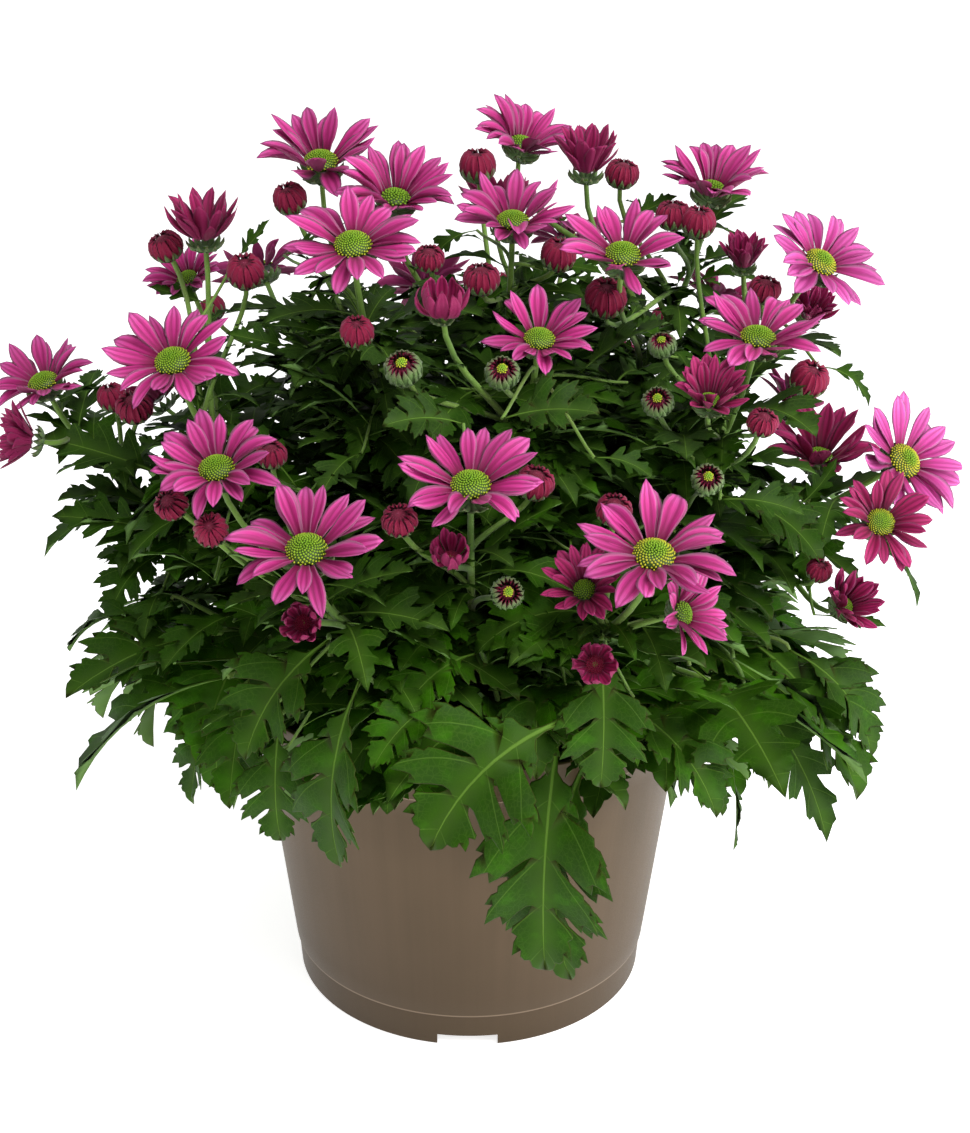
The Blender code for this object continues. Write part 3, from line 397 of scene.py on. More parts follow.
def makeBladeTree():
    # lays a blade on every point and bends it: it leaves at its pitch, droops along its length and rolls
    tree = bpy.data.node_groups.new("bladesOnPoints", "GeometryNodeTree")
    given = addInputs(tree, [("Geometry", "Geometry"), ("Blades", "Collection"), ("Cup", "Float"),
                             ("Finish", "Material")])
    here = addNode(tree, "GeometryNodeInputPosition")
    rooted = addNode(tree, "GeometryNodeStoreNamedAttribute", {
        0: given["Geometry"], "Name": "root", "Value": here}, data_type="FLOAT_VECTOR")
    shapes = addNode(tree, "GeometryNodeCollectionInfo", {0: given["Blades"], 1: True, 2: True})
    pick = addNode(tree, "GeometryNodeInputNamedAttribute", {0: "variant"}, data_type="INT")
    laid = addNode(tree, "GeometryNodeInstanceOnPoints", {0: rooted, 2: shapes, 3: True, 4: pick})
    solid = addNode(tree, "GeometryNodeRealizeInstances", {0: laid})
    root = addNode(tree, "GeometryNodeInputNamedAttribute", {0: "root"}, data_type="FLOAT_VECTOR")
    length, pitch, droop, roll, heading, wide = [
        addNode(tree, "GeometryNodeInputNamedAttribute", {0: name}, data_type="FLOAT")
        for name in ("length", "pitch", "droop", "roll", "heading", "wide")
    ]
    flat = addNode(tree, "VectorMath", {0: here, 1: root}, operation="SUBTRACT")
    along, across, proud = addNode(tree, "SeparateXYZ", {0: flat}).outputs
    turned = addNode(tree, "Math", {0: droop, 1: along}, operation="MULTIPLY")
    slope = addNode(tree, "Math", {0: pitch, 1: turned}, operation="SUBTRACT")
    reach = addNode(tree, "Math", {0: length, 1: droop}, operation="DIVIDE")
    sinPitch, cosPitch, sinSlope, cosSlope, sinRoll, cosRoll = [
        addNode(tree, "Math", {0: angle}, operation=operation)
        for angle in (pitch, slope, roll) for operation in ("SINE", "COSINE")
    ]
    outShare = addNode(tree, "Math", {0: sinPitch, 1: sinSlope}, operation="SUBTRACT")
    upShare = addNode(tree, "Math", {0: cosSlope, 1: cosPitch}, operation="SUBTRACT")
    width = addNode(tree, "Math", {0: wide, 1: length}, operation="MULTIPLY")
    aside = addNode(tree, "Math", {0: across, 1: width}, operation="MULTIPLY")
    spread = addNode(tree, "Math", {0: aside}, operation="ABSOLUTE")
    cupped = addNode(tree, "Math", {0: spread, 1: given["Cup"]}, operation="MULTIPLY")
    lifted = addNode(tree, "Math", {0: proud, 1: length, 2: cupped}, operation="MULTIPLY_ADD")
    leanA = addNode(tree, "Math", {0: aside, 1: cosRoll}, operation="MULTIPLY")
    leanB = addNode(tree, "Math", {0: lifted, 1: sinRoll, 2: leanA}, operation="MULTIPLY_ADD")
    riseA = addNode(tree, "Math", {0: aside, 1: sinRoll}, operation="MULTIPLY")
    riseB = addNode(tree, "Math", {0: lifted, 1: cosRoll}, operation="MULTIPLY")
    rise = addNode(tree, "Math", {0: riseB, 1: riseA}, operation="SUBTRACT")
    back = addNode(tree, "Math", {0: rise, 1: sinSlope}, operation="MULTIPLY")
    upward = addNode(tree, "Math", {0: rise, 1: cosSlope}, operation="MULTIPLY")
    outA = addNode(tree, "Math", {0: outShare, 1: reach}, operation="MULTIPLY")
    outB = addNode(tree, "Math", {0: outA, 1: back}, operation="SUBTRACT")
    up = addNode(tree, "Math", {0: upShare, 1: reach, 2: upward}, operation="MULTIPLY_ADD")
    bent = addNode(tree, "CombineXYZ", {0: outB, 1: leanB, 2: up})
    swung = addNode(tree, "VectorRotate", {"Vector": bent, "Angle": heading}, rotation_type="Z_AXIS")
    place = addNode(tree, "VectorMath", {0: root, 1: swung}, operation="ADD")
    grown = addNode(tree, "GeometryNodeSetPosition", {0: solid, 2: place})
    finished = addNode(tree, "GeometryNodeSetMaterial", {0: grown, "Material": given["Finish"]})
    addNode(tree, "NodeGroupOutput", {0: finished})
    return tree


def makeRingTree(bladeTree):
    # rings of petals or bracts about the flower's own axis, in layers by turns
    tree = bpy.data.node_groups.new("ringOfBlades", "GeometryNodeTree")
    given = addInputs(tree, [
        ("Count", "Int"), ("Layers", "Int"), ("Hub Radius", "Float"), ("Hub Height", "Float"),
        ("Length", "Float"), ("Width", "Float"), ("Pitch", "Float"), ("Droop", "Float"),
        ("Layer Pitch", "Float"), ("Unevenness", "Float"), ("Shapes", "Int"), ("Seed", "Int"),
        ("Blades", "Collection"), ("Cup", "Float"), ("Finish", "Material"),
    ])
    index = addNode(tree, "GeometryNodeInputIndex")
    uneven = given["Unevenness"]
    chance = [
        addNode(tree, "FunctionNodeRandomValue", {2: -1.0, 3: 1.0, 8: addNode(
            tree, "Math", {0: given["Seed"], 1: float(i * 17)}, operation="ADD")}).outputs[1]
        for i in range(7)
    ]
    share = addNode(tree, "Math", {0: chance[0], 1: uneven}, operation="MULTIPLY")
    nudged = addNode(tree, "Math", {0: share, 1: 1.6, 2: index}, operation="MULTIPLY_ADD")
    step = addNode(tree, "Math", {0: math.tau, 1: given["Count"]}, operation="DIVIDE")
    angle = addNode(tree, "Math", {0: nudged, 1: step}, operation="MULTIPLY")
    layer = addNode(tree, "Math", {0: index, 1: given["Layers"]}, operation="MODULO")
    x, y = aroundAxis(tree, angle, given["Hub Radius"])
    # each layer sits 1.5 hundredths of a petal above the one before
    step = addNode(tree, "Math", {0: given["Length"], 1: 0.015}, operation="MULTIPLY")
    z = addNode(tree, "Math", {0: layer, 1: step, 2: given["Hub Height"]}, operation="MULTIPLY_ADD")
    roots = addNode(tree, "GeometryNodePoints", {0: given["Count"], 1: addNode(
        tree, "CombineXYZ", {0: x, 1: y, 2: z})})
    sway = addNode(tree, "Math", {0: chance[1], 1: uneven}, operation="MULTIPLY")
    steep = addNode(tree, "Math", {0: layer, 1: given["Layer Pitch"], 2: given["Pitch"]},
                    operation="MULTIPLY_ADD")
    pitch = addNode(tree, "Math", {0: sway, 1: 0.8, 2: steep}, operation="MULTIPLY_ADD")
    curl = addNode(tree, "Math", {0: chance[2], 1: uneven}, operation="MULTIPLY")
    droop = addNode(tree, "Math", {0: curl, 1: 1.4, 2: given["Droop"]}, operation="MULTIPLY_ADD")
    shrink = addNode(tree, "Math", {0: chance[3], 1: 1.0}, operation="SUBTRACT")
    shorter = addNode(tree, "Math", {0: shrink, 1: uneven}, operation="MULTIPLY")
    part = addNode(tree, "Math", {0: shorter, 1: 0.35, 2: 1.0}, operation="MULTIPLY_ADD")
    length = addNode(tree, "Math", {0: part, 1: given["Length"]}, operation="MULTIPLY")
    roll = addNode(tree, "Math", {0: chance[4], 1: uneven}, operation="MULTIPLY")
    broad = addNode(tree, "Math", {0: chance[5], 1: uneven}, operation="MULTIPLY")
    broader = addNode(tree, "Math", {0: broad, 1: 0.6, 2: 1.0}, operation="MULTIPLY_ADD")
    wide = addNode(tree, "Math", {0: broader, 1: given["Width"]}, operation="MULTIPLY")
    fresh = addNode(tree, "Math", {0: chance[6], 1: 0.5, 2: 0.5}, operation="MULTIPLY_ADD")
    last = addNode(tree, "Math", {0: given["Shapes"], 1: 1.0}, operation="SUBTRACT")
    pick = addNode(tree, "FunctionNodeRandomValue", {4: 0, 5: last, 8: given["Seed"]}, data_type="INT")
    values = [("heading", angle), ("pitch", pitch), ("droop", droop), ("length", length), ("roll", roll),
              ("wide", wide), ("fresh", fresh)]
    for name, value in values:
        roots = addNode(tree, "GeometryNodeStoreNamedAttribute", {0: roots, "Name": name, "Value": value})
    roots = addNode(tree, "GeometryNodeStoreNamedAttribute", {
        0: roots, "Name": "variant", "Value": pick.outputs[2]}, data_type="INT")
    grown = addNode(tree, "GeometryNodeGroup", node_tree=bladeTree)
    for name, source in (("Geometry", roots.outputs[0]), ("Blades", given["Blades"]), ("Cup", given["Cup"]),
                         ("Finish", given["Finish"])):
        tree.links.new(source, grown.inputs[name])
    return endTree(tree, grown, given["Finish"])


def makeFloretTree():
    # florets in the spiral of a daisy's disc, each one a golden angle on from the last
    tree = bpy.data.node_groups.new("spiralOfFlorets", "GeometryNodeTree")
    given = addInputs(tree, [
        ("Count", "Int"), ("Disc Radius", "Float"), ("Dome Height", "Float"), ("Floret Width", "Float"),
        ("Age", "Float"), ("Seed", "Int"), ("Florets", "Collection"), ("Finish", "Material"),
    ])
    goldenAngle = math.radians(137.508)
    index = addNode(tree, "GeometryNodeInputIndex")
    half = addNode(tree, "Math", {0: index, 1: 0.5}, operation="ADD")
    area = addNode(tree, "Math", {0: half, 1: given["Count"]}, operation="DIVIDE")
    rim = addNode(tree, "Math", {0: area}, operation="SQRT")
    radius = addNode(tree, "Math", {0: rim, 1: given["Disc Radius"]}, operation="MULTIPLY")
    angle = addNode(tree, "Math", {0: index, 1: goldenAngle}, operation="MULTIPLY")
    x, y = aroundAxis(tree, angle, radius)
    fall = addNode(tree, "Math", {0: rim, 1: 2.4}, operation="POWER")
    left = addNode(tree, "Math", {0: 1.0, 1: fall}, operation="SUBTRACT")
    z = addNode(tree, "Math", {0: left, 1: given["Dome Height"]}, operation="MULTIPLY")
    place = addNode(tree, "CombineXYZ", {0: x, 1: y, 2: z})
    points = addNode(tree, "GeometryNodePoints", {0: given["Count"], 1: place})
    for name, value in (("rim", rim), ("age", given["Age"])):
        points = addNode(tree, "GeometryNodeStoreNamedAttribute", {0: points, "Name": name, "Value": value})
    # a floret stands square to the dome, more and more outward towards its rim
    steep = addNode(tree, "Math", {0: fall, 1: 1.3}, operation="MULTIPLY")
    flat = addNode(tree, "VectorMath", {0: addNode(tree, "CombineXYZ", {0: x, 1: y})}, operation="NORMALIZE")
    outward = addNode(tree, "VectorMath", {0: flat, 3: steep}, operation="SCALE")
    facing = addNode(tree, "VectorMath", {0: outward, 1: (0.0, 0.0, 1.0)}, operation="ADD")
    turn = addNode(tree, "FunctionNodeAlignRotationToVector", {2: facing}, axis="Z")
    jitter = addNode(tree, "FunctionNodeRandomValue", {2: 0.85, 3: 1.12, 8: given["Seed"]}).outputs[1]
    size = addNode(tree, "Math", {0: jitter, 1: given["Floret Width"]}, operation="MULTIPLY")
    shapes = addNode(tree, "GeometryNodeCollectionInfo", {0: given["Florets"], 1: True, 2: True})
    laid = addNode(tree, "GeometryNodeInstanceOnPoints", {0: points, 2: shapes, 5: turn, 6: addNode(
        tree, "CombineXYZ", {0: size, 1: size, 2: size})})
    return endTree(tree, laid, given["Finish"])


def makePartTree():
    # sets a ready-made part, such as a bud or its cup of bracts, on every point, facing its own way
    tree = bpy.data.node_groups.new("partsOnPoints", "GeometryNodeTree")
    given = addInputs(tree, [("Geometry", "Geometry"), ("Parts", "Collection"), ("Finish", "Material")])
    facing = addNode(tree, "GeometryNodeInputNamedAttribute", {0: "facing"}, data_type="FLOAT_VECTOR")
    size = addNode(tree, "GeometryNodeInputNamedAttribute", {0: "across"}, data_type="FLOAT")
    pick = addNode(tree, "GeometryNodeInputNamedAttribute", {0: "variant"}, data_type="INT")
    turn = addNode(tree, "FunctionNodeAlignRotationToVector", {2: facing}, axis="Z")
    shapes = addNode(tree, "GeometryNodeCollectionInfo", {0: given["Parts"], 1: True, 2: True})
    laid = addNode(tree, "GeometryNodeInstanceOnPoints", {
        0: given["Geometry"], 2: shapes, 3: True, 4: pick, 5: turn,
        6: addNode(tree, "CombineXYZ", {0: size, 1: size, 2: size})})
    return endTree(tree, laid, given["Finish"])


def makeStemTree():
    # a ridged stem along every line, as thick as its points say
    tree = bpy.data.node_groups.new("ridgedStems", "GeometryNodeTree")
    given = addInputs(tree, [("Geometry", "Geometry"), ("Ridges", "Int"), ("Ridge Depth", "Float"),
                             ("Finish", "Material")])
    lines = addNode(tree, "GeometryNodeMeshToCurve", {0: given["Geometry"]})
    thick = addNode(tree, "GeometryNodeInputNamedAttribute", {0: "thick"}, data_type="FLOAT")
    sides = addNode(tree, "Math", {0: given["Ridges"], 1: 2.0}, operation="MULTIPLY")
    ring = addNode(tree, "GeometryNodeCurvePrimitiveCircle", {0: sides, 4: 1.0})
    index = addNode(tree, "GeometryNodeInputIndex")
    odd = addNode(tree, "Math", {0: index, 1: 2.0}, operation="MODULO")
    sunk = addNode(tree, "Math", {0: odd, 1: given["Ridge Depth"]}, operation="MULTIPLY")
    share = addNode(tree, "Math", {0: 1.0, 1: sunk}, operation="SUBTRACT")
    inward = addNode(tree, "VectorMath", {0: addNode(tree, "GeometryNodeInputPosition"), 3: share},
                     operation="SCALE")
    ridged = addNode(tree, "GeometryNodeSetPosition", {0: ring, 2: inward})
    tube = addNode(tree, "GeometryNodeCurveToMesh", {0: lines, 1: ridged, 2: thick, 3: True})
    return endTree(tree, tube, given["Finish"])


def makeCrumbTree():
    # crumbs of bark and peat scattered over a surface
    tree = bpy.data.node_groups.new("crumbsOnSurface", "GeometryNodeTree")
    given = addInputs(tree, [
        ("Geometry", "Geometry"), ("Crumbs A Square Metre", "Float"), ("Crumb Width", "Float"),
        ("Seed", "Int"), ("Crumbs", "Collection"), ("Finish", "Material"),
    ])
    spread = addNode(tree, "GeometryNodeDistributePointsOnFaces", {
        0: given["Geometry"], "Density": given["Crumbs A Square Metre"],
        "Seed": given["Seed"]})
    tumble = addNode(tree, "FunctionNodeRandomValue", {
        0: (0, 0, 0), 1: (6.28, 6.28, 6.28), 8: given["Seed"]}, data_type="FLOAT_VECTOR")
    turn = addNode(tree, "FunctionNodeEulerToRotation", {0: tumble.outputs[0]})
    smallest = addNode(tree, "Math", {0: given["Crumb Width"], 1: 0.4}, operation="MULTIPLY")
    size = addNode(tree, "FunctionNodeRandomValue", {
        2: smallest, 3: given["Crumb Width"], 8: given["Seed"]}).outputs[1]
    shapes = addNode(tree, "GeometryNodeCollectionInfo", {0: given["Crumbs"], 1: True, 2: True})
    laid = addNode(tree, "GeometryNodeInstanceOnPoints", {
        0: spread.outputs[0], 2: shapes, 3: True, 5: turn,
        6: addNode(tree, "CombineXYZ", {0: size, 1: size, 2: size})})
    both = addNode(tree, "GeometryNodeJoinGeometry", {0: given["Geometry"]})
    tree.links.new(laid.outputs[0], both.inputs[0])
    return endTree(tree, both, given["Finish"])


bladeTree = makeBladeTree()
ringTree = makeRingTree(bladeTree)
floretTree = makeFloretTree()
partTree = makePartTree()
stemTree = makeStemTree()
crumbTree = makeCrumbTree()
print("growth trees ready")


def grow(tree, values, source=None):
    # runs a growth tree on a source mesh and returns the plain mesh that it makes
    carrier = addObject("carrier", source or bpy.data.meshes.new("points"))
    modifier = carrier.modifiers.new("growth", "NODES")
    modifier.node_group = tree
    for item in tree.interface.items_tree:
        if item.in_out == "INPUT" and item.name in values:
            modifier[item.identifier] = values[item.name]
    grown = evaluated(carrier)
    carrier.modifiers.remove(modifier)
    bpy.data.objects.remove(carrier)
    # what the trees alone read isn't kept on the mesh
    passing = ("root", "heading", "pitch", "droop", "length", "roll", "wide", "variant", "facing", "across")
    for name in passing:
        if name in grown.attributes:
            grown.attributes.remove(grown.attributes[name])
    grown.shade_smooth()
    return grown


def pointsMesh(rows):
    # a mesh of loose points from rows of {attribute: value}, where "at" is the place
    mesh = bpy.data.meshes.new("points")
    mesh.from_pydata([row["at"] for row in rows], [], [])
    for name, value in rows[0].items():
        if name == "at":
            continue
        kind = "INT" if isinstance(value, int) else "FLOAT_VECTOR" if isinstance(value, Vector) else "FLOAT"
        layer = mesh.attributes.new(name, kind, "POINT")
        for item, row in zip(layer.data, rows):
            if kind == "FLOAT_VECTOR":
                item.vector = row[name]
            else:
                item.value = row[name]
    return mesh


def shapeCollection(name, meshes):
    # ready-made shapes that a growth tree picks from, in the order of their names
    shapes = bpy.data.collections.new(name)
    bpy.context.scene.collection.children.link(shapes)
    for i, mesh in enumerate(meshes):
        shapes.objects.link(bpy.data.objects.new(f"{name}_{i}", mesh))
    return shapes


def joinMeshes(name, meshes):
    joined = bmesh.new()
    for mesh in meshes:
        joined.from_mesh(mesh)
    result = meshFrom(name, joined)
    result.materials.append(meshes[-1].materials[0])
    result.polygons.foreach_set("material_index", [0] * len(result.polygons))
    result.shade_smooth()
    return result


def addPiece(name, mesh, slotName, *nodes):
    # a finished piece, pressed back where a tip would leave the CAD box
    low, high = cadBox
    for vert in mesh.vertices:
        vert.co = Vector(min(max(c, a), b) for c, a, b in zip(vert.co, low, high))
    piece = addObject(name, mesh)
    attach(piece, "root")
    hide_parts(*nodes)
    return piece


# where everything grows, and a flower's own parts as shares of its width
flowerShares = {
    "hub": 0.14, "calyxDepth": 0.11, "discRadius": 0.135, "discDome": 0.085, "layerLift": 9.0,
    "hubDrop": {"open": 0.0, "cup": 0.1, "crown": 0.22, "burst": 0.34, "bud": 0.0},
}
plants = {"plant_left": (-52, -4), "plant_front": (2, -54), "plant_right": (54, -4), "plant_crown": (0, 0),
          "plant_back": (0, 54)}
stemSizes = {
    "soilTop": 128 * mm, "limbStart": 5 * mm, "depth": 22 * mm, "rise": 9 * mm, "base": 3.2 * mm,
    "limb": 2.2 * mm, "stalk": 1.2 * mm, "lean": 0.3, "shootReach": 121 * mm, "shootHeight": 172 * mm,
}
limbs = {
    "far_left": ("plant_left", "bloom_14"), "left": ("plant_left", "bloom_04"),
    "left_front": ("plant_front", "bloom_06"), "front": ("plant_front", "bloom_07"),
    "front_high": ("plant_front", "bloom_08"), "right_front": ("plant_front", "bloom_17"),
    "right": ("plant_right", "bloom_13"), "right_high": ("plant_right", "bloom_12"),
    "far_right": ("plant_right", "bloom_15"), "crown_left": ("plant_crown", "bloom_02"),
    "crown": ("plant_crown", "bloom_09"), "crown_right": ("plant_crown", "bloom_11"),
    "back_left": ("plant_back", "bloom_20"), "back": ("plant_back", "bloom_21"),
    "back_high": ("plant_back", "bloom_22"), "back_right": ("plant_back", "bloom_23"),
}
shoots = {"plant_left": (-128, -100, -74, -52), "plant_front": (-34, -14, 8, 32),
          "plant_right": (52, 76, 102, 130), "plant_back": (152, 180, 206)}
# name, kind, limb, share of the limb where its stalk leaves, x, y, z in mm, turn from the viewer, rise, width
# across in mm, and how far its petals lift out of their own plane, in degrees
heads = [
    ("bloom_01", "open", "crown_left", 0.58, -62, 20, 359, 5, 62, 54, 18),
    ("bloom_02", "open", "crown_left", 1.0, -44, -50, 338, 0, 56, 53, 8),
    ("bloom_03", "cup", "crown", 0.60, -30, -8, 353, 10, 64, 49, 22),
    ("bloom_04", "open", "left", 1.0, -114, -50, 293, -8, 54, 52, 8),
    ("bloom_05", "open", "left_front", 0.60, -91, -100, 266, -8, 62, 50, 10),
    ("bloom_06", "open", "left_front", 1.0, -55, -140, 250, 0, 60, 54, 6),
    ("bloom_07", "open", "front", 1.0, 1, -120, 267, 0, 62, 53, 10),
    ("bloom_08", "open", "front_high", 1.0, 26, -60, 305, 8, 60, 44, 12),
    ("bloom_09", "open", "crown", 1.0, 16, -20, 342, 0, 66, 49, 14),
    ("bloom_10", "open", "crown_right", 0.60, 57, -50, 335, 5, 60, 51, 10),
    ("bloom_11", "cup", "crown_right", 1.0, 100, 30, 352, 10, 70, 49, 22),
    ("bloom_12", "open", "right_high", 1.0, 139, -10, 325, 34, 50, 51, 12),
    ("bloom_13", "open", "right", 1.0, 108, -60, 306, 12, 67, 51, 12),
    ("bloom_14", "open", "far_left", 1.0, -178, 0, 271, -30, 66, 48, 16),
    ("bloom_15", "open", "far_right", 1.0, 175, -30, 249, 33, 38, 55, 8),
    ("bloom_16", "open", "far_right", 0.74, 160, -62, 234, 5, 38, 42, 20),
    ("bloom_17", "open", "right_front", 1.0, 64, -140, 249, 8, 62, 55, 10),
    ("bloom_18", "cup", "right_front", 0.66, 41, -128, 233, -14, 48, 33, 34),
    ("bloom_19", "cup", "right_front", 0.56, 78, -134, 226, 48, 26, 36, 26),
    ("bloom_20", "open", "back_left", 1.0, -98, 95, 300, -140, 55, 47, 12),
    ("bloom_21", "open", "back", 1.0, -24, 142, 284, -170, 50, 49, 10),
    ("bloom_22", "open", "back_high", 1.0, 44, 112, 312, 162, 58, 46, 12),
    ("bloom_23", "open", "back_right", 1.0, 112, 92, 290, 125, 52, 48, 9),
    ("bloom_24", "cup", "back_left", 0.62, -146, 64, 250, -110, 48, 44, 20),
    ("bloom_25", "cup", "back_right", 0.62, 150, 68, 246, 110, 46, 44, 20),
    ("bloom_26", "cup", "left", 0.62, -121, 24, 313, -25, 58, 36, 24),
    ("bloom_27", "cup", "crown_right", 0.74, 22, 42, 368, 40, 64, 47, 24),
    ("crown_01", "crown", "left", 0.70, -107, -6, 341, -5, 80, 36, 50),
    ("crown_02", "crown", "far_left", 0.84, -184, -28, 256, -70, 16, 30, 45),
    ("crown_03", "crown", "crown_right", 0.66, 46, 8, 366, 5, 78, 34, 56),
    ("crown_04", "crown", "far_right", 0.66, 148, 4, 248, -10, 72, 43, 34),
    ("crown_05", "crown", "right", 0.72, 88, -86, 294, 0, 64, 30, 46),
    ("crown_06", "crown", "back", 0.62, -66, 148, 250, -160, 42, 34, 40),
    ("crown_07", "crown", "back_high", 0.70, 10, 96, 336, 180, 70, 36, 44),
    ("burst_01", "crown", "far_right", 0.52, 152, -62, 201, 30, 40, 28, 48),
    ("burst_02", "crown", "right_high", 0.72, 113, 20, 324, -15, 70, 26, 62),
    ("burst_03", "crown", "right_high", 0.64, 144, 22, 301, 20, 60, 26, 58),
    ("burst_04", "burst", "front_high", 0.70, -10, -80, 325, 0, 75, 20, 70),
    ("burst_05", "burst", "front", 0.70, -6, -128, 246, 0, 55, 16, 76),
    ("burst_06", "burst", "left_front", 0.66, -57, -146, 226, 0, 25, 16, 76),
    ("burst_07", "burst", "right_front", 0.50, 45, -146, 211, 0, 25, 17, 74),
    ("burst_08", "burst", "back_high", 0.58, 76, 144, 250, 150, 42, 24, 60),
]
# the same for the closed buds, without name, kind and lift
buds = [
    ("left", 0.74, -124, 2, 328, -40, 60, 12),
    ("left", 0.80, -90, -14, 321, 0, 55, 13),
    ("far_left", 0.72, -138, -14, 265, 0, 60, 13),
    ("far_left", 0.66, -151, 4, 264, -30, 70, 11),
    ("left_front", 0.50, -111, -86, 248, -20, 40, 11),
    ("left_front", 0.54, -92, -114, 248, 0, 40, 11),
    ("left_front", 0.72, -74, -78, 265, 0, 70, 10),
    ("crown_left", 0.80, -42, -66, 309, 0, 60, 11),
    ("crown", 0.78, -16, -36, 331, 0, 60, 10),
    ("crown_left", 0.64, -74, 10, 346, -30, 60, 12),
    ("front_high", 0.74, -24, -84, 300, -10, 50, 13),
    ("front_high", 0.80, 12, -82, 298, 0, 45, 12),
    ("front", 0.62, -24, -122, 255, -10, 55, 11),
    ("front", 0.55, 14, -130, 231, 10, 30, 11),
    ("front", 0.80, 24, -100, 262, 20, 65, 12),
    ("crown_right", 0.80, 52, -36, 316, 0, 60, 14),
    ("crown", 0.84, 4, -40, 324, -10, 70, 12),
    ("crown", 0.86, 34, -22, 330, 10, 65, 12),
    ("crown_right", 0.76, 62, 32, 354, 20, 70, 12),
    ("crown", 0.62, 2, 22, 358, -20, 75, 13),
    ("right_front", 0.62, 52, -112, 256, 0, 60, 11),
    ("right", 0.78, 72, -62, 304, -20, 60, 10),
    ("right", 0.62, 69, -84, 288, -10, 45, 11),
    ("right", 0.56, 86, -104, 265, 0, 40, 11),
    ("right", 0.60, 108, -82, 280, 10, 60, 10),
    ("right_high", 0.60, 132, -42, 286, 20, 60, 13),
    ("right_high", 0.80, 118, -8, 314, 10, 65, 11),
    ("right_high", 0.56, 92, 8, 338, 0, 70, 12),
    ("crown_right", 0.84, 82, 14, 340, -10, 75, 12),
    ("far_right", 0.48, 140, -52, 210, 10, 60, 9),
    ("back_left", 0.74, -118, 68, 288, -120, 60, 11),
    ("back", 0.80, -58, 118, 300, -160, 60, 12),
    ("back_high", 0.76, 14, 138, 286, 175, 50, 11),
    ("back_right", 0.70, 92, 122, 272, 140, 50, 12),
]
heads += [(f"bud_{i:02d}", "bud", *row, 90) for i, row in enumerate(buds, 1)]


def headingVector(turn, rise):
    around, up = math.radians(turn), math.radians(rise)
    return Vector((math.sin(around) * math.cos(up), -math.cos(around) * math.cos(up), math.sin(up)))


class Head:
    # one flower or bud: where it is, how wide it is and the way it faces
    def __init__(self, row):
        self.name, self.kind, self.limb, self.share, x, y, z, turn, rise, across, self.lift = row
        self.middle = Vector((x, y, z)) * mm
        self.out = headingVector(turn, rise)
        self.across = across * mm
        place = self.middle - self.out * self.across * flowerShares["hubDrop"][self.kind]
        self.frame = Matrix.Translation(place) @ self.out.to_track_quat("Z", "Y").to_matrix().to_4x4()
        if self.kind == "bud":
            self.stalkEnd = self.middle - self.out * self.across * 0.3
        else:
            depth = 0.1 if self.kind == "burst" else -flowerShares["calyxDepth"]
            self.stalkEnd = self.frame @ Vector((0, 0, depth * self.across))
        if self.kind == "burst" and self.lift >= 70:
            self.kind = "goblet"


allHeads = {row[0]: Head(row) for row in heads}
# flowers whose petals stand up further than in the solids, in degrees
moreLift = {
    "bloom_01": 8, "bloom_02": 4, "bloom_03": 4, "bloom_04": 3, "bloom_05": 6, "bloom_06": 6, "bloom_07": 7,
    "bloom_08": 6, "bloom_09": 9, "bloom_10": 6, "bloom_11": 11, "bloom_13": 8, "bloom_17": 5, "bloom_18": 4,
    "bloom_27": 6,
}
for headName, more in moreLift.items():
    allHeads[headName].lift += more


def routePoint(route, t):
    a, b, c, d = route
    s = 1 - t
    return a * s**3 + b * 3 * s * s * t + c * 3 * s * t * t + d * t**3


def routeTangent(route, t):
    a, b, c, d = route
    s = 1 - t
    return ((b - a) * s * s + (c - b) * 2 * s * t + (d - c) * t * t).normalized()


def footOf(plant):
    x, y = plants[plant]
    return Vector((x * mm, y * mm, stemSizes["soilTop"] + stemSizes["limbStart"]))


def limbRoute(limb):
    plant, leader = limbs[limb]
    head, foot = allHeads[leader], footOf(plant)
    end = head.stalkEnd
    reach = (end - foot).length
    lean = Vector((end.x - foot.x, end.y - foot.y, 0)) * stemSizes["lean"]
    return foot, foot + lean + Vector((0, 0, reach * 0.36)), end - head.out * reach * 0.32, end


def stalkRoute(head):
    limb, end = limbRoute(head.limb), head.stalkEnd
    start = routePoint(limb, head.share)
    reach = (end - start).length
    away = (routeTangent(limb, head.share) + (end - start).normalized()) / 2
    return start, start + away * reach * 0.35, end - head.out * reach * 0.38, end


def shootRoute(plant, turn):
    foot, out = footOf(plant), headingVector(turn, 0)
    end = out * stemSizes["shootReach"] + Vector((0, 0, stemSizes["shootHeight"]))
    climb = Vector((0, 0, 0.7 * (stemSizes["shootHeight"] - foot.z)))
    return foot, foot + out * 14 * mm + climb, end - out * 0.35 * (end - foot).length, end


# pot
potSizes = {
    "height": 142 * mm, "rim": 96 * mm, "foot": 79 * mm, "wall": 1.6 * mm, "footWall": 2.6 * mm,
    "rimBand": 15 * mm, "footBand": 16 * mm, "step": 0.8 * mm, "floor": 8 * mm, "floorThick": 2 * mm,
    "notches": 4, "notchWidth": 26 * mm, "notchHeight": 5 * mm, "drains": 6, "drainRadius": 5 * mm,
    "drainRing": 52 * mm, "sides": 160, "edge": 0.35 * mm,
}


def potRadius(height):
    return potSizes["foot"] + (potSizes["rim"] - potSizes["foot"]) * height / potSizes["height"]


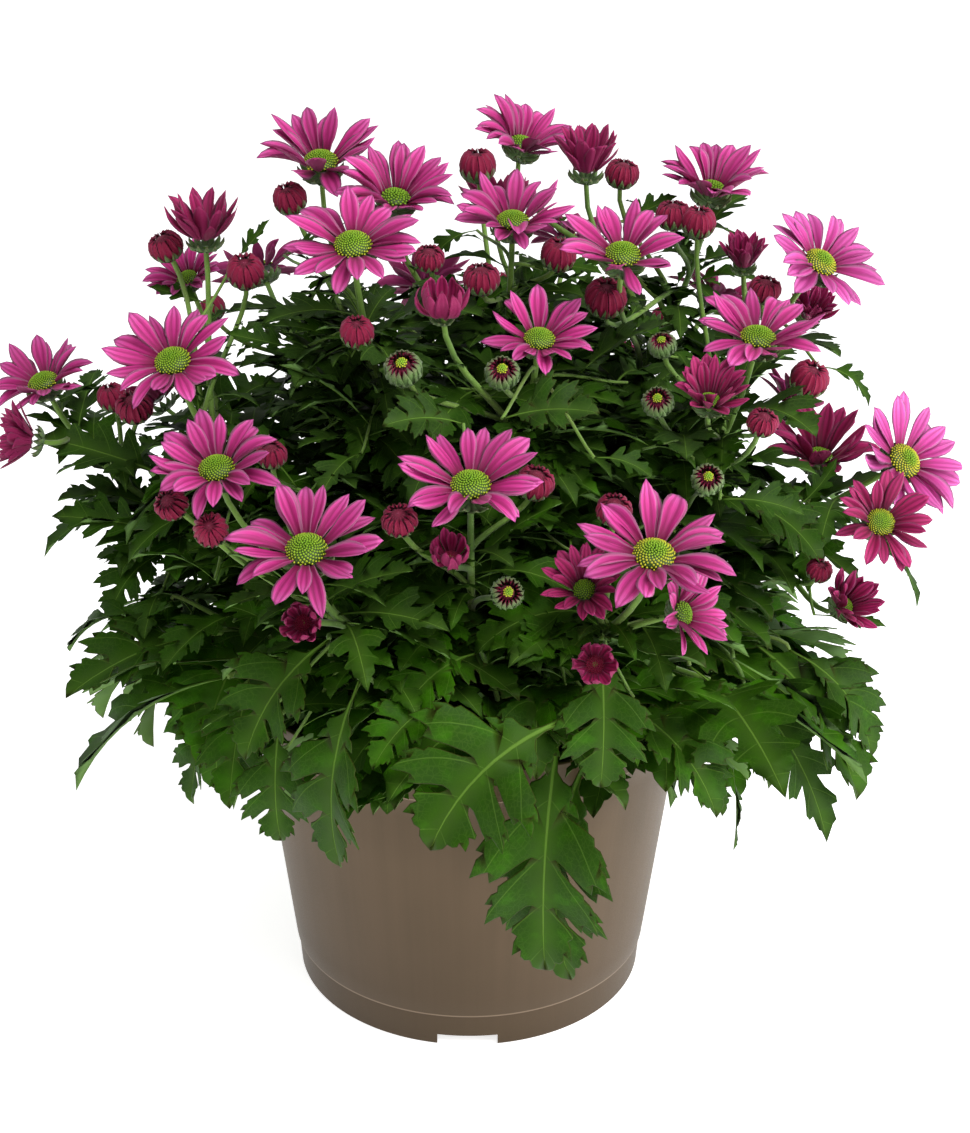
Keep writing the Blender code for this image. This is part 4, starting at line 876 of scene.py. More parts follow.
def lathe(profile, sides):
    # a turned shape from (radius, height) points, closed on the axis at both ends
    shape = bmesh.new()
    rings = []
    for radius, height in profile:
        if radius < 1e-6:
            rings.append([shape.verts.new((0, 0, height))])
            continue
        angles = [math.tau * i / sides for i in range(sides)]
        rings.append([shape.verts.new((radius * math.cos(a), radius * math.sin(a), height)) for a in angles])
    for low, high in zip(rings, rings[1:]):
        for i in range(sides):
            j = i + 1
            corners = [low[i % len(low)], low[j % len(low)], high[j % len(high)], high[i % len(high)]]
            shape.faces.new(list(dict.fromkeys(corners)))
    bmesh.ops.recalc_face_normals(shape, faces=shape.faces)
    return shape


def buildPot():
    size = potSizes
    height, edge, step = size["height"], size["edge"], size["step"]
    rim, floorTop = height - size["rimBand"], size["floor"] + size["floorThick"]
    band = size["footBand"]
    inner = potRadius(height) - size["wall"]
    outer = potRadius(height) + step
    profile = [(0, floorTop), (potRadius(floorTop) - size["footWall"] - 3 * mm, floorTop),
               (potRadius(floorTop) - size["footWall"] - 0.6 * mm, floorTop + 0.8 * mm),
               (potRadius(floorTop + 3 * mm) - size["footWall"], floorTop + 3 * mm)]
    profile += [(inner, height - edge), (inner + edge, height), (outer - edge, height)]
    profile += [(outer, height - edge), (potRadius(rim) + step, rim + edge)]
    profile += [(potRadius(rim) + step - edge, rim)]
    profile += [(potRadius(rim) + edge, rim - 0.3 * mm), (potRadius(rim), rim - step)]
    # the plain wall in short stretches, so that its streaks and shading run evenly
    steps = 12
    for i in range(1, steps):
        z = rim - step + (band - rim + step) * i / steps
        profile.append((potRadius(z), z))
    profile += [(potRadius(band), band), (potRadius(band) - 0.15 * mm, band - 0.4 * mm)]
    profile += [(potRadius(band) - step, band - step), (size["foot"], edge), (size["foot"] - edge, 0)]
    profile += [(size["foot"] - size["footWall"] + edge, 0), (size["foot"] - size["footWall"], edge)]
    profile += [(potRadius(size["floor"]) - size["footWall"], size["floor"]), (0, size["floor"])]
    shell = lathe(profile, size["sides"])
    pot = addObject("carrier", meshFrom("pot", shell))
    cuts = bmesh.new()
    for i in range(size["notches"]):
        turn = Matrix.Rotation(math.tau * i / size["notches"], 4, "Z")
        block = Matrix.Diagonal((size["notchWidth"], 12 * mm, 2 * size["notchHeight"], 1))
        bmesh.ops.create_cube(cuts, size=1, matrix=turn @ Matrix.Translation((0, -size["foot"], 0)) @ block)
    for i in range(size["drains"]):
        around = math.tau * (i + 0.4) / size["drains"]
        at = Matrix.Translation((math.cos(around) * size["drainRing"], math.sin(around) * size["drainRing"],
                                 size["floor"]))
        bmesh.ops.create_cone(cuts, cap_ends=True, segments=24, radius1=size["drainRadius"],
                              radius2=size["drainRadius"], depth=10 * mm, matrix=at)
    cutter = addObject("cutter", meshFrom("cuts", cuts))
    hollow = pot.modifiers.new("cuts", "BOOLEAN")
    hollow.operation = "DIFFERENCE"
    hollow.object = cutter
    done = evaluated(pot)
    bpy.data.objects.remove(pot)
    bpy.data.objects.remove(cutter)
    done.materials.clear()
    done.materials.append(finishes["pot"])
    done.shade_smooth()
    done.set_sharp_from_angle(angle=math.radians(35))
    return addPiece("pot_shell", done, "pot_plastic", "pot")


buildPot()
print("pot turned")

# soil
soilSizes = {"crown": 2 * mm, "inset": 3 * mm, "lump": 2.2 * mm, "rings": 26, "sides": 72, "crumbs": 52000.0,
             "crumbWidth": 3.4 * mm, "seed": 5}


def buildSoil():
    size = soilSizes
    floorTop = potSizes["floor"] + potSizes["floorThick"]
    top = stemSizes["soilTop"]
    edge = potRadius(top) - potSizes["footWall"] - 0.4 * mm
    bottom = floorTop + 0.4 * mm
    profile = [(edge * i / size["rings"], top + size["crown"] * (1 - (i / size["rings"]) ** 2))
               for i in range(size["rings"] + 1)]
    profile += [(edge - 0.2 * mm, top - 4 * mm), (potRadius(bottom) - potSizes["footWall"] - 4 * mm, bottom),
                (0, bottom)]
    heap = lathe(profile, size["sides"])
    for vert in heap.verts:
        if vert.co.z > top - 0.1 * mm and vert.co.xy.length < edge - size["inset"]:
            vert.co.z += size["lump"] * (noise.fractal(vert.co / (9 * mm), 1.0, 2.0, 4) - 0.1)
    mesh = meshFrom("soil", heap)
    crumb = bmesh.new()
    bmesh.ops.create_icosphere(crumb, subdivisions=1, radius=0.5)
    draw = random.Random(size["seed"])
    for vert in crumb.verts:
        vert.co = Vector((vert.co.x * 1.3, vert.co.y * 0.8, vert.co.z * 0.5)) * draw.uniform(0.8, 1.15)
    # crumbs lie only on the top of the heap
    topOnly = bmesh.new()
    topOnly.from_mesh(mesh)
    below = [v for v in topOnly.verts if v.co.z < top - 2 * mm]
    bmesh.ops.delete(topOnly, geom=below, context="VERTS")
    scattered = grow(crumbTree, {
        "Crumbs A Square Metre": size["crumbs"], "Crumb Width": size["crumbWidth"], "Seed": size["seed"],
        "Crumbs": shapeCollection("crumb", [meshFrom("crumb", crumb)]), "Finish": finishes["soil"],
    }, meshFrom("scatter", topOnly))
    mesh.materials.append(finishes["soil"])
    mesh.shade_smooth()
    addPiece("soil_heap", mesh, "potting_soil", "soil")
    addPiece("soil_crumbs", scattered, "potting_soil", "soil")


buildSoil()
print("soil filled")

# blades
def bladeFromGrid(name, rows, columns, halfWidth, relief, thickness):
    # a closed blade one unit long, lens-shaped across: halfWidth and relief are functions of its own shares
    shape = bmesh.new()
    uvLayer = shape.loops.layers.uv.new("UVMap")
    topLayer = shape.loops.layers.float.new("top")
    uvOf, upper, lower = {}, [], []

    def addVert(u, v, side):
        bulge = thickness * math.sqrt(max(0, 1 - v * v)) * side
        vert = shape.verts.new((u, halfWidth(u) * v, relief(u, v) + bulge))
        uvOf[vert] = (u, v / 2 + 0.5)
        return vert

    for i in range(rows):
        u = i / rows
        sides = [2 * j / columns - 1 for j in range(columns + 1)]
        above = [addVert(u, v, 0 if abs(v) == 1 else 1) for v in sides]
        below = [above[0]] + [addVert(u, v, -1) for v in sides[1:-1]] + [above[-1]]
        upper.append(above)
        lower.append(below)
    tip = addVert(1, 0, 0)
    topFaces = set()
    for i in range(rows - 1):
        for j in range(columns):
            here, ahead, under, underAhead = upper[i], upper[i + 1], lower[i], lower[i + 1]
            topFaces.add(shape.faces.new((here[j], ahead[j], ahead[j + 1], here[j + 1])))
            shape.faces.new((under[j + 1], underAhead[j + 1], underAhead[j], under[j]))
    for j in range(columns):
        topFaces.add(shape.faces.new((upper[-1][j], tip, upper[-1][j + 1])))
        shape.faces.new((lower[-1][j + 1], tip, lower[-1][j]))
    shape.faces.new(upper[0] + lower[0][-2:0:-1])
    bmesh.ops.recalc_face_normals(shape, faces=shape.faces)
    for face in shape.faces:
        for loop in face.loops:
            loop[uvLayer].uv = uvOf[loop.vert]
            loop[topLayer] = 1.0 if face in topFaces else 0.0
    return meshFrom(name, shape)


def bladeFromOutline(name, side, rib, thickness, relief, marginWidth=0):
    # a closed lobed blade: side is one half of its outline as (along, across), mirrored to the other half
    outline = [Vector((x, y)) for x, y in side] + [Vector((x, -y)) for x, y in side[-2:0:-1]]
    inner = [Vector((x, 0)) for x in rib]
    count = len(outline)
    edges = [(i, (i + 1) % count) for i in range(count)]
    line = [0, *range(count, count + len(inner)), len(side) - 1]
    edges += list(zip(line, line[1:]))
    if marginWidth:
        # a ring of points just inside the edge holds the thin dark margin
        for before, here, after in zip(outline[-1:] + outline, outline, outline[1:] + outline[:1]):
            lead = ((here - before).normalized() + (after - here).normalized()).normalized()
            point = here + Vector((lead.y, -lead.x)) * marginWidth
            if abs(point.y) > 0.004:
                inner.append(point)
    coords, _, faces, originals, _, _ = delaunay_2d_cdt(outline + inner, edges, [], 1, 1e-6)
    onEdge = {i for i, source in enumerate(originals) if any(k < count for k in source)}
    shape = bmesh.new()
    uvLayer = shape.loops.layers.uv.new("UVMap")
    topLayer = shape.loops.layers.float.new("top")
    marginLayer = shape.verts.layers.float.new("margin")
    upper, lower, underFaces = [], [], set()
    for i, point in enumerate(coords):
        lift = relief(point.x, point.y)
        half = 0 if i in onEdge else thickness
        above = shape.verts.new((point.x, point.y, lift + half))
        upper.append(above)
        if i in onEdge:
            above[marginLayer] = 1.0 if marginWidth else 0.0
            lower.append(above)
            continue
        below = shape.verts.new((point.x, point.y, lift - half))
        lower.append(below)
    for face in faces:
        made = shape.faces.new([upper[i] for i in face])
        made.normal_update()
        if made.normal.z < 0:
            made.normal_flip()
        corners = [lower[i] for i in face]
        if all(vert in upper for vert in corners):
            continue
        under = shape.faces.new(corners)
        underFaces.add(under)
        under.normal_update()
        if under.normal.z > 0:
            under.normal_flip()
    for face in shape.faces:
        for loop in face.loops:
            loop[uvLayer].uv = (loop.vert.co.x, loop.vert.co.y + 0.5)
            loop[topLayer] = 0.0 if face in underFaces else 1.0
    return meshFrom(name, shape)


def curveThrough(stops):
    # a smooth function through (place, value) stops
    def value(u):
        for (a, low), (b, high) in zip(stops, stops[1:]):
            if u <= b:
                t = (u - a) / (b - a)
                return low + (high - low) * t * t * (3 - 2 * t)
        return stops[-1][1]
    return value


petalWidths = curveThrough([
    (0, 0.4), (0.2, 0.62), (0.42, 0.94), (0.58, 1.0), (0.76, 0.82), (0.89, 0.5), (0.96, 0.24), (1, 0)])
roundWidths = curveThrough([
    (0, 0.36), (0.25, 0.62), (0.5, 0.95), (0.66, 1.0), (0.82, 0.82), (0.93, 0.5), (0.975, 0.28), (1, 0)])


def petalRelief(cup, curl, ridge):
    # grooves lengthwise, the edges raised or lowered, and the tip curled
    def relief(u, v):
        body = math.sin(math.pi * min(u * 1.1, 1))
        return ridge * math.cos(3 * math.pi * v) * body + cup * v * v * (0.3 + body) + curl * max(0, u - 0.72)
    return relief


petalShapes = shapeCollection("petal", [
    bladeFromGrid("petal", 8, 6, lambda u: 0.5 * petalWidths(u), petalRelief(0.05, 0.1, 0.011), 0.010),
    bladeFromGrid("petal", 8, 6, lambda u: 0.47 * roundWidths(u), petalRelief(0.11, -0.1, 0.010), 0.010),
    bladeFromGrid("petal", 8, 6, lambda u: 0.45 * petalWidths(u), petalRelief(-0.05, 0.22, 0.012), 0.010),
    bladeFromGrid("petal", 8, 6, lambda u: 0.49 * roundWidths(u), petalRelief(0.02, 0.0, 0.012), 0.010),
])
bractWidths = curveThrough([(0, 0.7), (0.3, 1.0), (0.7, 0.8), (1, 0)])
bractShapes = shapeCollection("bract", [
    bladeFromGrid("bract", 6, 2, lambda u: 0.5 * bractWidths(u), lambda u, v: -0.06 * v * v, 0.03)])
foldedShapes = shapeCollection("folded", [
    bladeFromGrid("folded", 7, 4, lambda u: 0.5 * petalWidths(u) + 0.06, lambda u, v: -0.09 * v * v, 0.03)])

broadSide = [
    (0, 0.0), (0.0, 0.012), (0.1, 0.011), (0.17, 0.02), (0.2, 0.05), (0.215, 0.085), (0.245, 0.1),
    (0.262, 0.088), (0.275, 0.115), (0.322, 0.138), (0.31, 0.09), (0.3, 0.055), (0.325, 0.1), (0.35, 0.17),
    (0.37, 0.215), (0.395, 0.222), (0.405, 0.25), (0.446, 0.288), (0.455, 0.255), (0.475, 0.285),
    (0.54, 0.316), (0.525, 0.262), (0.52, 0.235), (0.562, 0.232), (0.545, 0.19), (0.515, 0.14),
    (0.485, 0.085), (0.475, 0.055), (0.51, 0.085), (0.545, 0.145), (0.575, 0.195), (0.6, 0.2),
    (0.612, 0.228), (0.658, 0.262), (0.662, 0.228), (0.685, 0.25), (0.748, 0.272), (0.728, 0.222),
    (0.72, 0.198), (0.757, 0.19), (0.738, 0.155), (0.705, 0.115), (0.675, 0.075), (0.672, 0.05),
    (0.71, 0.07), (0.745, 0.11), (0.765, 0.145), (0.79, 0.15), (0.805, 0.125), (0.825, 0.14),
    (0.872, 0.148), (0.858, 0.105), (0.88, 0.108), (0.9, 0.09), (0.905, 0.065), (0.94, 0.055),
    (0.965, 0.035), (1, 0.0),
]
slimSide = [
    (0, 0.0), (0.0, 0.012), (0.15, 0.012), (0.24, 0.02), (0.3, 0.07), (0.36, 0.14), (0.42, 0.17),
    (0.43, 0.13), (0.41, 0.05), (0.48, 0.09), (0.55, 0.17), (0.62, 0.2), (0.63, 0.16), (0.66, 0.14),
    (0.62, 0.06), (0.7, 0.08), (0.77, 0.12), (0.8, 0.11), (0.8, 0.075), (0.88, 0.07), (0.9, 0.045),
    (1, 0.0),
]
slightSide = [
    (0, 0.0), (0.0, 0.012), (0.2, 0.014), (0.34, 0.06), (0.46, 0.14), (0.5, 0.1), (0.56, 0.05),
    (0.68, 0.12), (0.74, 0.13), (0.75, 0.08), (0.86, 0.06), (1, 0.0),
]


def leafRelief(wave, keel):
    def relief(x, y):
        swell = math.sin(x * 13 + 1.7 * wave) * wave * 0.03 * min(1, abs(y) * 8)
        return swell - keel * math.exp(-((y / 0.03) ** 2)) - 0.25 * y * y * (1 + wave)
    return relief


ribPlaces = (0.1, 0.2, 0.3, 0.4, 0.5, 0.6, 0.7, 0.8, 0.9)
leafShapes = shapeCollection("leaf", [
    bladeFromOutline("leaf", broadSide, ribPlaces, 0.004, leafRelief(0.6, 0.012), 0.006),
    bladeFromOutline("leaf", [(x, y * (1.12 - 0.2 * x)) for x, y in broadSide], ribPlaces, 0.004,
                     leafRelief(-1.0, 0.015), 0.006),
    bladeFromOutline("leaf", slimSide, ribPlaces, 0.004, leafRelief(1.0, 0.010)),
    bladeFromOutline("leaf", [(x, y * 1.25) for x, y in slimSide], ribPlaces, 0.004, leafRelief(-0.6, 0.012)),
    bladeFromOutline("leaf", slightSide, (0.2, 0.35, 0.5, 0.65, 0.82), 0.006, leafRelief(0.4, 0.012)),
    bladeFromOutline("leaf", broadSide, ribPlaces, 0.004, leafRelief(0.6, 0.012)),
])
print("blade shapes cut")

# leaves
leafRules = {
    "seed": 21, "shootLeaves": 7, "spacing": 19 * mm, "cup": 0.34, "lowest": 0.572, "backOf": 30 * mm,
    "shortest": 30 * mm, "fillSeed": 7, "fillSpacing": 4.2 * mm, "stalkSpacing": 13 * mm, "rimGap": 12 * mm,
    "rimInFront": 7, "large": 60 * mm, "middling": 34 * mm,
    # lengths in mm, from and to; those on a limb start at the first and lose the second on the way up
    "hanging": (70, 94), "filling": (38, 66), "onTwig": (34, 56), "onStalk": (16, 34), "onLimb": (92, 58),
}
goldenTurn = 137.5  # degrees from one leaf to the next around a stem

# leaves that hang over the pot's rim: plant, turn of the shoot that they grow on, their foot and tip in mm,
# pitch, roll, width share, shape and freshness
rimLeaves = [
    ("plant_front", 32, (34, -140, 186), (-13, -158, 143), -12, 45, 1.4, 1, 0.42),
    ("plant_front", 8, (35, -104, 167), (31, -118, 64), -55, 5, 0.78, 1, 0.44),
    ("plant_front", 32, (48, -103, 158), (42, -107, 52), -60, 40, 0.7, 0, 0.47),
    ("plant_front", -14, (-39, -128, 196), (-47, -136, 122), -55, 0, 0.9, 0, 0.4),
    ("plant_front", -34, (-71, -108, 170), (-72, -112, 119), -60, 8, 0.95, 1, 0.38),
    ("plant_front", -34, (-51, -112, 205), (-82, -128, 163), -25, 30, 1.1, 1, 0.4),
    ("plant_front", 32, (48, -125, 211), (49, -135, 156), -50, -8, 1.0, 0, 0.39),
    ("plant_front", -14, (-10, -125, 187), (-34, -142, 167), -10, 25, 1.1, 1, 0.62),
    ("plant_front", 8, (4, -112, 200), (-26, -128, 176), 0, 25, 1.1, 0, 0.66),
    ("plant_right", 52, (70, -88, 160), (109, -102, 142), 5, 60, 0.8, 0, 0.31),
    ("plant_right", 52, (74, -92, 156), (100, -102, 126), -20, -20, 1.0, 1, 0.39),
    ("plant_right", 52, (108, -68, 132), (110, -74, 94), -60, 60, 0.7, 2, 0.31),
    ("plant_right", 76, (133, -40, 170), (170, -48, 124), -20, -30, 0.9, 0, 0.27),
    ("plant_right", 76, (107, -58, 174), (159, -64, 126), -25, 50, 0.8, 3, 0.23),
    ("plant_right", 76, (112, -58, 162), (151, -64, 92), -45, -50, 0.7, 3, 0.23),
    ("plant_right", 52, (86, -83, 182), (120, -89, 131), -30, -20, 0.9, 0, 0.31),
    ("plant_left", -52, (-92, -70, 162), (-112, -78, 116), -35, 15, 0.9, 1, 0.47),
    ("plant_left", -74, (-112, -48, 178), (-136, -62, 150), -15, 15, 0.9, 0, 0.39),
    ("plant_left", -74, (-125, -28, 186), (-152, -42, 160), -10, 15, 0.9, 3, 0.31),
]
# single leaves on the outer stems and among the top flowers: foot and tip in mm, then as above
sprayLeaves = [
    ((-122, -20, 236), (-181, -6, 250), 20, 35, 0.95, 3, 0.2),
    ((-128, -22, 214), (-177, -12, 217), 10, 40, 0.95, 3, 0.25),
    ((-108, -34, 232), (-138, -36, 205), -10, 30, 1.0, 0, 0.3),
    ((143, -6, 282), (165, -6, 265), 0, -30, 1.1, 2, 0.2),
    ((160, -14, 212), (192, -14, 178), -10, -20, 0.8, 2, 0.2),
    ((133, -28, 228), (150, -22, 248), 30, -30, 1.0, 2, 0.2),
    ((100, -48, 240), (141, -52, 213), -5, -35, 1.0, 0, 0.2),
    ((140, -50, 190), (170, -50, 185), 0, -40, 0.8, 2, 0.2),
    ((-97, 0, 322), (-81, -2, 340), 45, -40, 1.1, 2, 0.3),
    ((-108, 12, 302), (-134, 10, 310), 20, 35, 1.0, 2, 0.3),
    ((-6, -18, 304), (14, -26, 318), 30, -40, 1.0, 2, 0.6),
    ((62, 34, 334), (86, 34, 345), 25, -35, 1.0, 3, 0.2),
    ((-68, -30, 294), (-96, -34, 301), 15, 35, 1.0, 3, 0.2),
    ((2, 10, 334), (-18, 2, 320), 0, 30, 1.0, 2, 0.2),
    ((-2, -86, 280), (-31, -100, 283), 25, 40, 1.1, 0, 0.0),
    ((12, -86, 282), (47, -98, 288), 25, -40, 1.1, 1, 0.05),
    ((46, -88, 268), (68, -92, 261), 10, -35, 1.0, 3, 0.1),
    ((96, -70, 246), (128, -76, 242), 10, -40, 1.1, 3, 0.15),
    ((-78, 16, 322), (-60, 6, 334), 30, -30, 1.0, 2, 0.2),
    ((30, -10, 322), (52, -18, 322), 20, -35, 1.0, 2, 0.25),
]
twigRules = {
    "seed": 11, "spacing": 35 * mm, "shortest": 12 * mm, "longest": 64 * mm, "thick": 0.9 * mm, "leaves": 7,
    "openSide": 92 * mm, "openHeight": 245 * mm,
    "base": (0, 4 * mm, 148 * mm), "dome": (162 * mm, 140 * mm, 162 * mm),
}


def planLeaves():
    # hanging leaves on the low shoots, then arching ones up the limbs
    draw = random.Random(leafRules["seed"])
    leaves = []
    for plant, turns in shoots.items():
        for turn in turns:
            route = shootRoute(plant, turn)
            for i in range(leafRules["shootLeaves"]):
                share = 0.35 + 0.62 * i / (leafRules["shootLeaves"] - 1)
                swing = draw.uniform(10, 75) * (1 - 0.8 * share) * (1 if i % 2 else -1)
                pitch, droop = draw.uniform(-38, 18), draw.uniform(35, 70)
                length = draw.uniform(*leafRules["hanging"]) * mm
                roll = draw.uniform(-15, 15)
                leaves.append({"plant": plant, "at": routePoint(route, share), "heading": turn + 2.4 * swing,
                               "pitch": pitch, "droop": droop, "roll": roll, "length": length})
    longest, lessAbove = leafRules["onLimb"]
    for limb, (plant, _) in limbs.items():
        route = limbRoute(limb)
        count = round((route[3] - route[0]).length / leafRules["spacing"])
        turn = draw.uniform(0, 360)
        for i in range(count):
            share = 0.12 + 0.8 * i / (count - 1)
            root = routePoint(route, share)
            outward = math.degrees(math.atan2(root.x, -root.y))
            turn += goldenTurn
            swing = draw.uniform(0, 80) * (1 if i % 2 else -1)
            heading = turn if plant == "plant_crown" else outward + swing
            length = (longest - lessAbove * share**0.8) * draw.uniform(0.85, 1.1) * mm
            pitch = draw.uniform(5, 35) + 25 * share
            droop = draw.uniform(50, 95) - 25 * share
            leaves.append({"plant": plant, "at": root, "heading": heading, "pitch": pitch, "droop": droop,
                           "roll": draw.uniform(-16, 16), "length": length})
    # the ones in front stay short enough to end just below the pot's rim, as the viewer sees it
    for leaf in leaves:
        while leaf["length"] > leafRules["shortest"] and hangsTooLow(leafPoint(leaf, 1, 0)):
            leaf["pitch"] += 3
            leaf["length"] *= 0.95
    return leaves


def hangsTooLow(tip):
    # how steeply the viewer looks down at a tip says how far down the pot it seems to hang
    fall = (round(viewer.z, 3) - tip.z) / (tip.y - round(viewer.y, 3))
    return tip.y < leafRules["backOf"] and fall > leafRules["lowest"]


def sightGap(point, mark):
    # how far along the viewer's line to a mark a point is, and how far off that line
    sight = mark - viewer
    share = (point - viewer).dot(sight) / sight.length_squared
    return share, (point - viewer - sight * share).length


def bladePoints(leaf, alongs, across):
    return [leafPoint(leaf, along, side) for along in alongs for side in (-across, 0, across)]


def leafPoint(leaf, along, across):
    start, bend = math.radians(leaf["pitch"]), math.radians(leaf["droop"])
    here = start - bend * along
    radius = leaf["length"] / bend
    out = headingVector(leaf["heading"], 0)
    rib = out * (math.sin(start) - math.sin(here)) * radius
    rib.z = (math.cos(here) - math.cos(start)) * radius
    level = out.cross(Vector((0, 0, 1)))
    return leaf["at"] + rib + level * across * leaf["length"]


def hidesFlower(leaf):
    # true where the leaf would lie in front of or through a flower or bud
    points = bladePoints(leaf, (0.3, 0.5, 0.7, 0.85, 1.0), 0.2)
    for head in allHeads.values():
        for point in points:
            ahead = (point - head.middle).dot(head.out)
            aside = (point - head.middle - head.out * ahead).length
            if aside < 0.52 * head.across and -0.25 * head.across < ahead < 0.9 * head.across:
                return True
    return False


def blocksView(points):
    # true where something would stand between the viewer and a flower
    for head in allHeads.values():
        if head.middle.y > 50 * mm:
            continue
        for point in points:
            share, gap = sightGap(point, head.middle)
            if 0 < share < 1 and gap < (0.5 * head.across + 2 * mm) * share:
                return True
    return False


def coversRimLeaf(leaf):
    # true where a leaf would hide one of the large leaves that hang over the rim in front
    points = bladePoints(leaf, (0.4, 0.6, 0.8, 1.0), 0.15)
    if all(point.y > -80 * mm or point.z > 230 * mm for point in points):
        return False
    for mark in rimMarks:
        for point in points:
            share, gap = sightGap(point, mark)
            if 0 < share < 1 and gap < leafRules["rimGap"]:
                return True
    return False


def placesOnLimbs():
    # places all along every limb: its plant, its route, the share of the route and the point
    places = []
    for limb, (plant, _) in limbs.items():
        route = limbRoute(limb)
        for i in range(21):
            along = 0.12 + 0.04 * i
            places.append((plant, route, along, routePoint(route, along)))
    return places


limbPlaces = placesOnLimbs()


def nearestLimb(point):
    return min(limbPlaces, key=lambda place: (place[3] - point).length)


def sprayRoute(root):
    plant, route, along, start = nearestLimb(root)
    reach = (root - start).length
    return plant, (start, start + routeTangent(route, along) * reach * 0.4, root - (root - start) * 0.3, root)


def planTwigs():
    # leafy twigs that carry no flower, from the nearest limb into every part of the dome
    size = twigRules
    draw = random.Random(size["seed"])
    twigs = []
    base, spread = Vector(size["base"]), size["spacing"]
    for x in range(-4, 5):
        for y in range(-3, 4):
            for z in range(6):
                end = Vector([(c + draw.uniform(-0.35, 0.35)) * spread for c in (x, y, z)]) + base
                share = Vector([a / b for a, b in zip(end - base, size["dome"])])
                if share.length > 1 or (end.x > size["openSide"] and end.z < size["openHeight"]):
                    continue
                plant, route, along, start = nearestLimb(end)
                reach = (end - start).length
                lead = routeTangent(route, along)
                twig = (start, start + lead * reach * 0.35, end - (end - start) * 0.3, end)
                inSight = blocksView([routePoint(twig, t) for t in (0.3, 0.6, 1)])
                if size["shortest"] < reach < size["longest"] and not inSight:
                    twigs.append((plant, twig))
    return twigs


twigs = planTwigs()


def leafToTip(plant, root, tip, pitch, roll, wide, variant, fresh):
    # the arc that leaves root at its pitch and ends at tip
    chord = tip - root
    flat = math.hypot(chord.x, chord.y)
    droop = 2 * (math.radians(pitch) - math.atan2(chord.z, flat))
    length = chord.length * (droop / 2) / math.sin(droop / 2)
    heading = math.degrees(math.atan2(chord.x, -chord.y))
    return {"plant": plant, "at": root, "heading": heading, "pitch": pitch, "droop": math.degrees(droop),
            "roll": roll, "length": length, "wide": wide, "variant": variant, "fresh": fresh}


def hangLeaves():
    leaves = []
    for plant, turn, root, tip, *rest in rimLeaves:
        leaves.append(leafToTip(plant, Vector(root) * mm, Vector(tip) * mm, *rest))
    for root, tip, *rest in sprayLeaves:
        plant = nearestLimb(Vector(root) * mm)[0]
        leaves.append(leafToTip(plant, Vector(root) * mm, Vector(tip) * mm, *rest))
    return leaves


# points along the large leaves in front that no other leaf may hide
inFront = hangLeaves()[:leafRules["rimInFront"]]
rimMarks = [leafPoint(leaf, share, 0) for leaf in inFront for share in (0.35, 0.6, 0.85)]


def hangRoute(plant, turn, root):
    # the leaf stalk from the shoot to the foot of a hanging leaf
    shoot = shootRoute(plant, turn)
    start, end = routePoint(shoot, 0.62), Vector(root) * mm
    reach = (end - start).length
    return start, start + routeTangent(shoot, 0.62) * reach * 0.4, end + Vector((0, 0, 0.15 * reach)), end


def fillLeaves():
    # smaller leaves all the way up the limbs, on the twigs and on the flower stalks
    draw = random.Random(leafRules["fillSeed"])
    leaves = []

    def addLeaf(plant, root, heading, length, pitch):
        leaf = {"plant": plant, "at": root, "heading": heading, "pitch": pitch, "droop": draw.uniform(30, 85),
                "roll": draw.uniform(-25, 25), "length": length}
        if not blocksView(bladePoints(leaf, (0.3, 0.55, 0.8, 1.0), 0.18)):
            leaves.append(leaf)

    for limb, (plant, _) in limbs.items():
        route = limbRoute(limb)
        count = round((route[3] - route[0]).length / leafRules["fillSpacing"])
        for i in range(count):
            share = 0.22 + 0.76 * (i + draw.random()) / count
            root = routePoint(route, share)
            outward = math.degrees(math.atan2(root.x, -root.y))
            heading = outward + draw.uniform(-130, 130)
            size = draw.uniform(*leafRules["filling"]) * (1 - 0.4 * share) * mm
            addLeaf(plant, root, heading, size, draw.uniform(5, 60))
    for plant, route in twigs:
        turn = draw.uniform(0, 360)
        for i in range(twigRules["leaves"]):
            share = 0.3 + 0.7 * i / (twigRules["leaves"] - 1)
            turn += goldenTurn
            size = draw.uniform(*leafRules["onTwig"]) * (1.2 - 0.45 * share) * mm
            addLeaf(plant, routePoint(route, share), turn, size, draw.uniform(0, 60))
    for head in allHeads.values():
        plant, leader = limbs[head.limb]
        if head.name == leader:
            continue
        route = stalkRoute(head)
        reach = (route[3] - route[0]).length
        for i in range(max(2, round(reach / leafRules["stalkSpacing"]))):
            share = 0.1 + 0.75 * (i + draw.random()) * leafRules["stalkSpacing"] / reach
            if share < 0.9:
                size = draw.uniform(*leafRules["onStalk"]) * (1.2 - share) * mm
                addLeaf(plant, routePoint(route, share), draw.uniform(0, 360), size, draw.uniform(15, 65))
    return leaves


def insideBox(point):
    low, high = cadBox
    return all(a <= c <= b for c, a, b in zip(point, low, high))


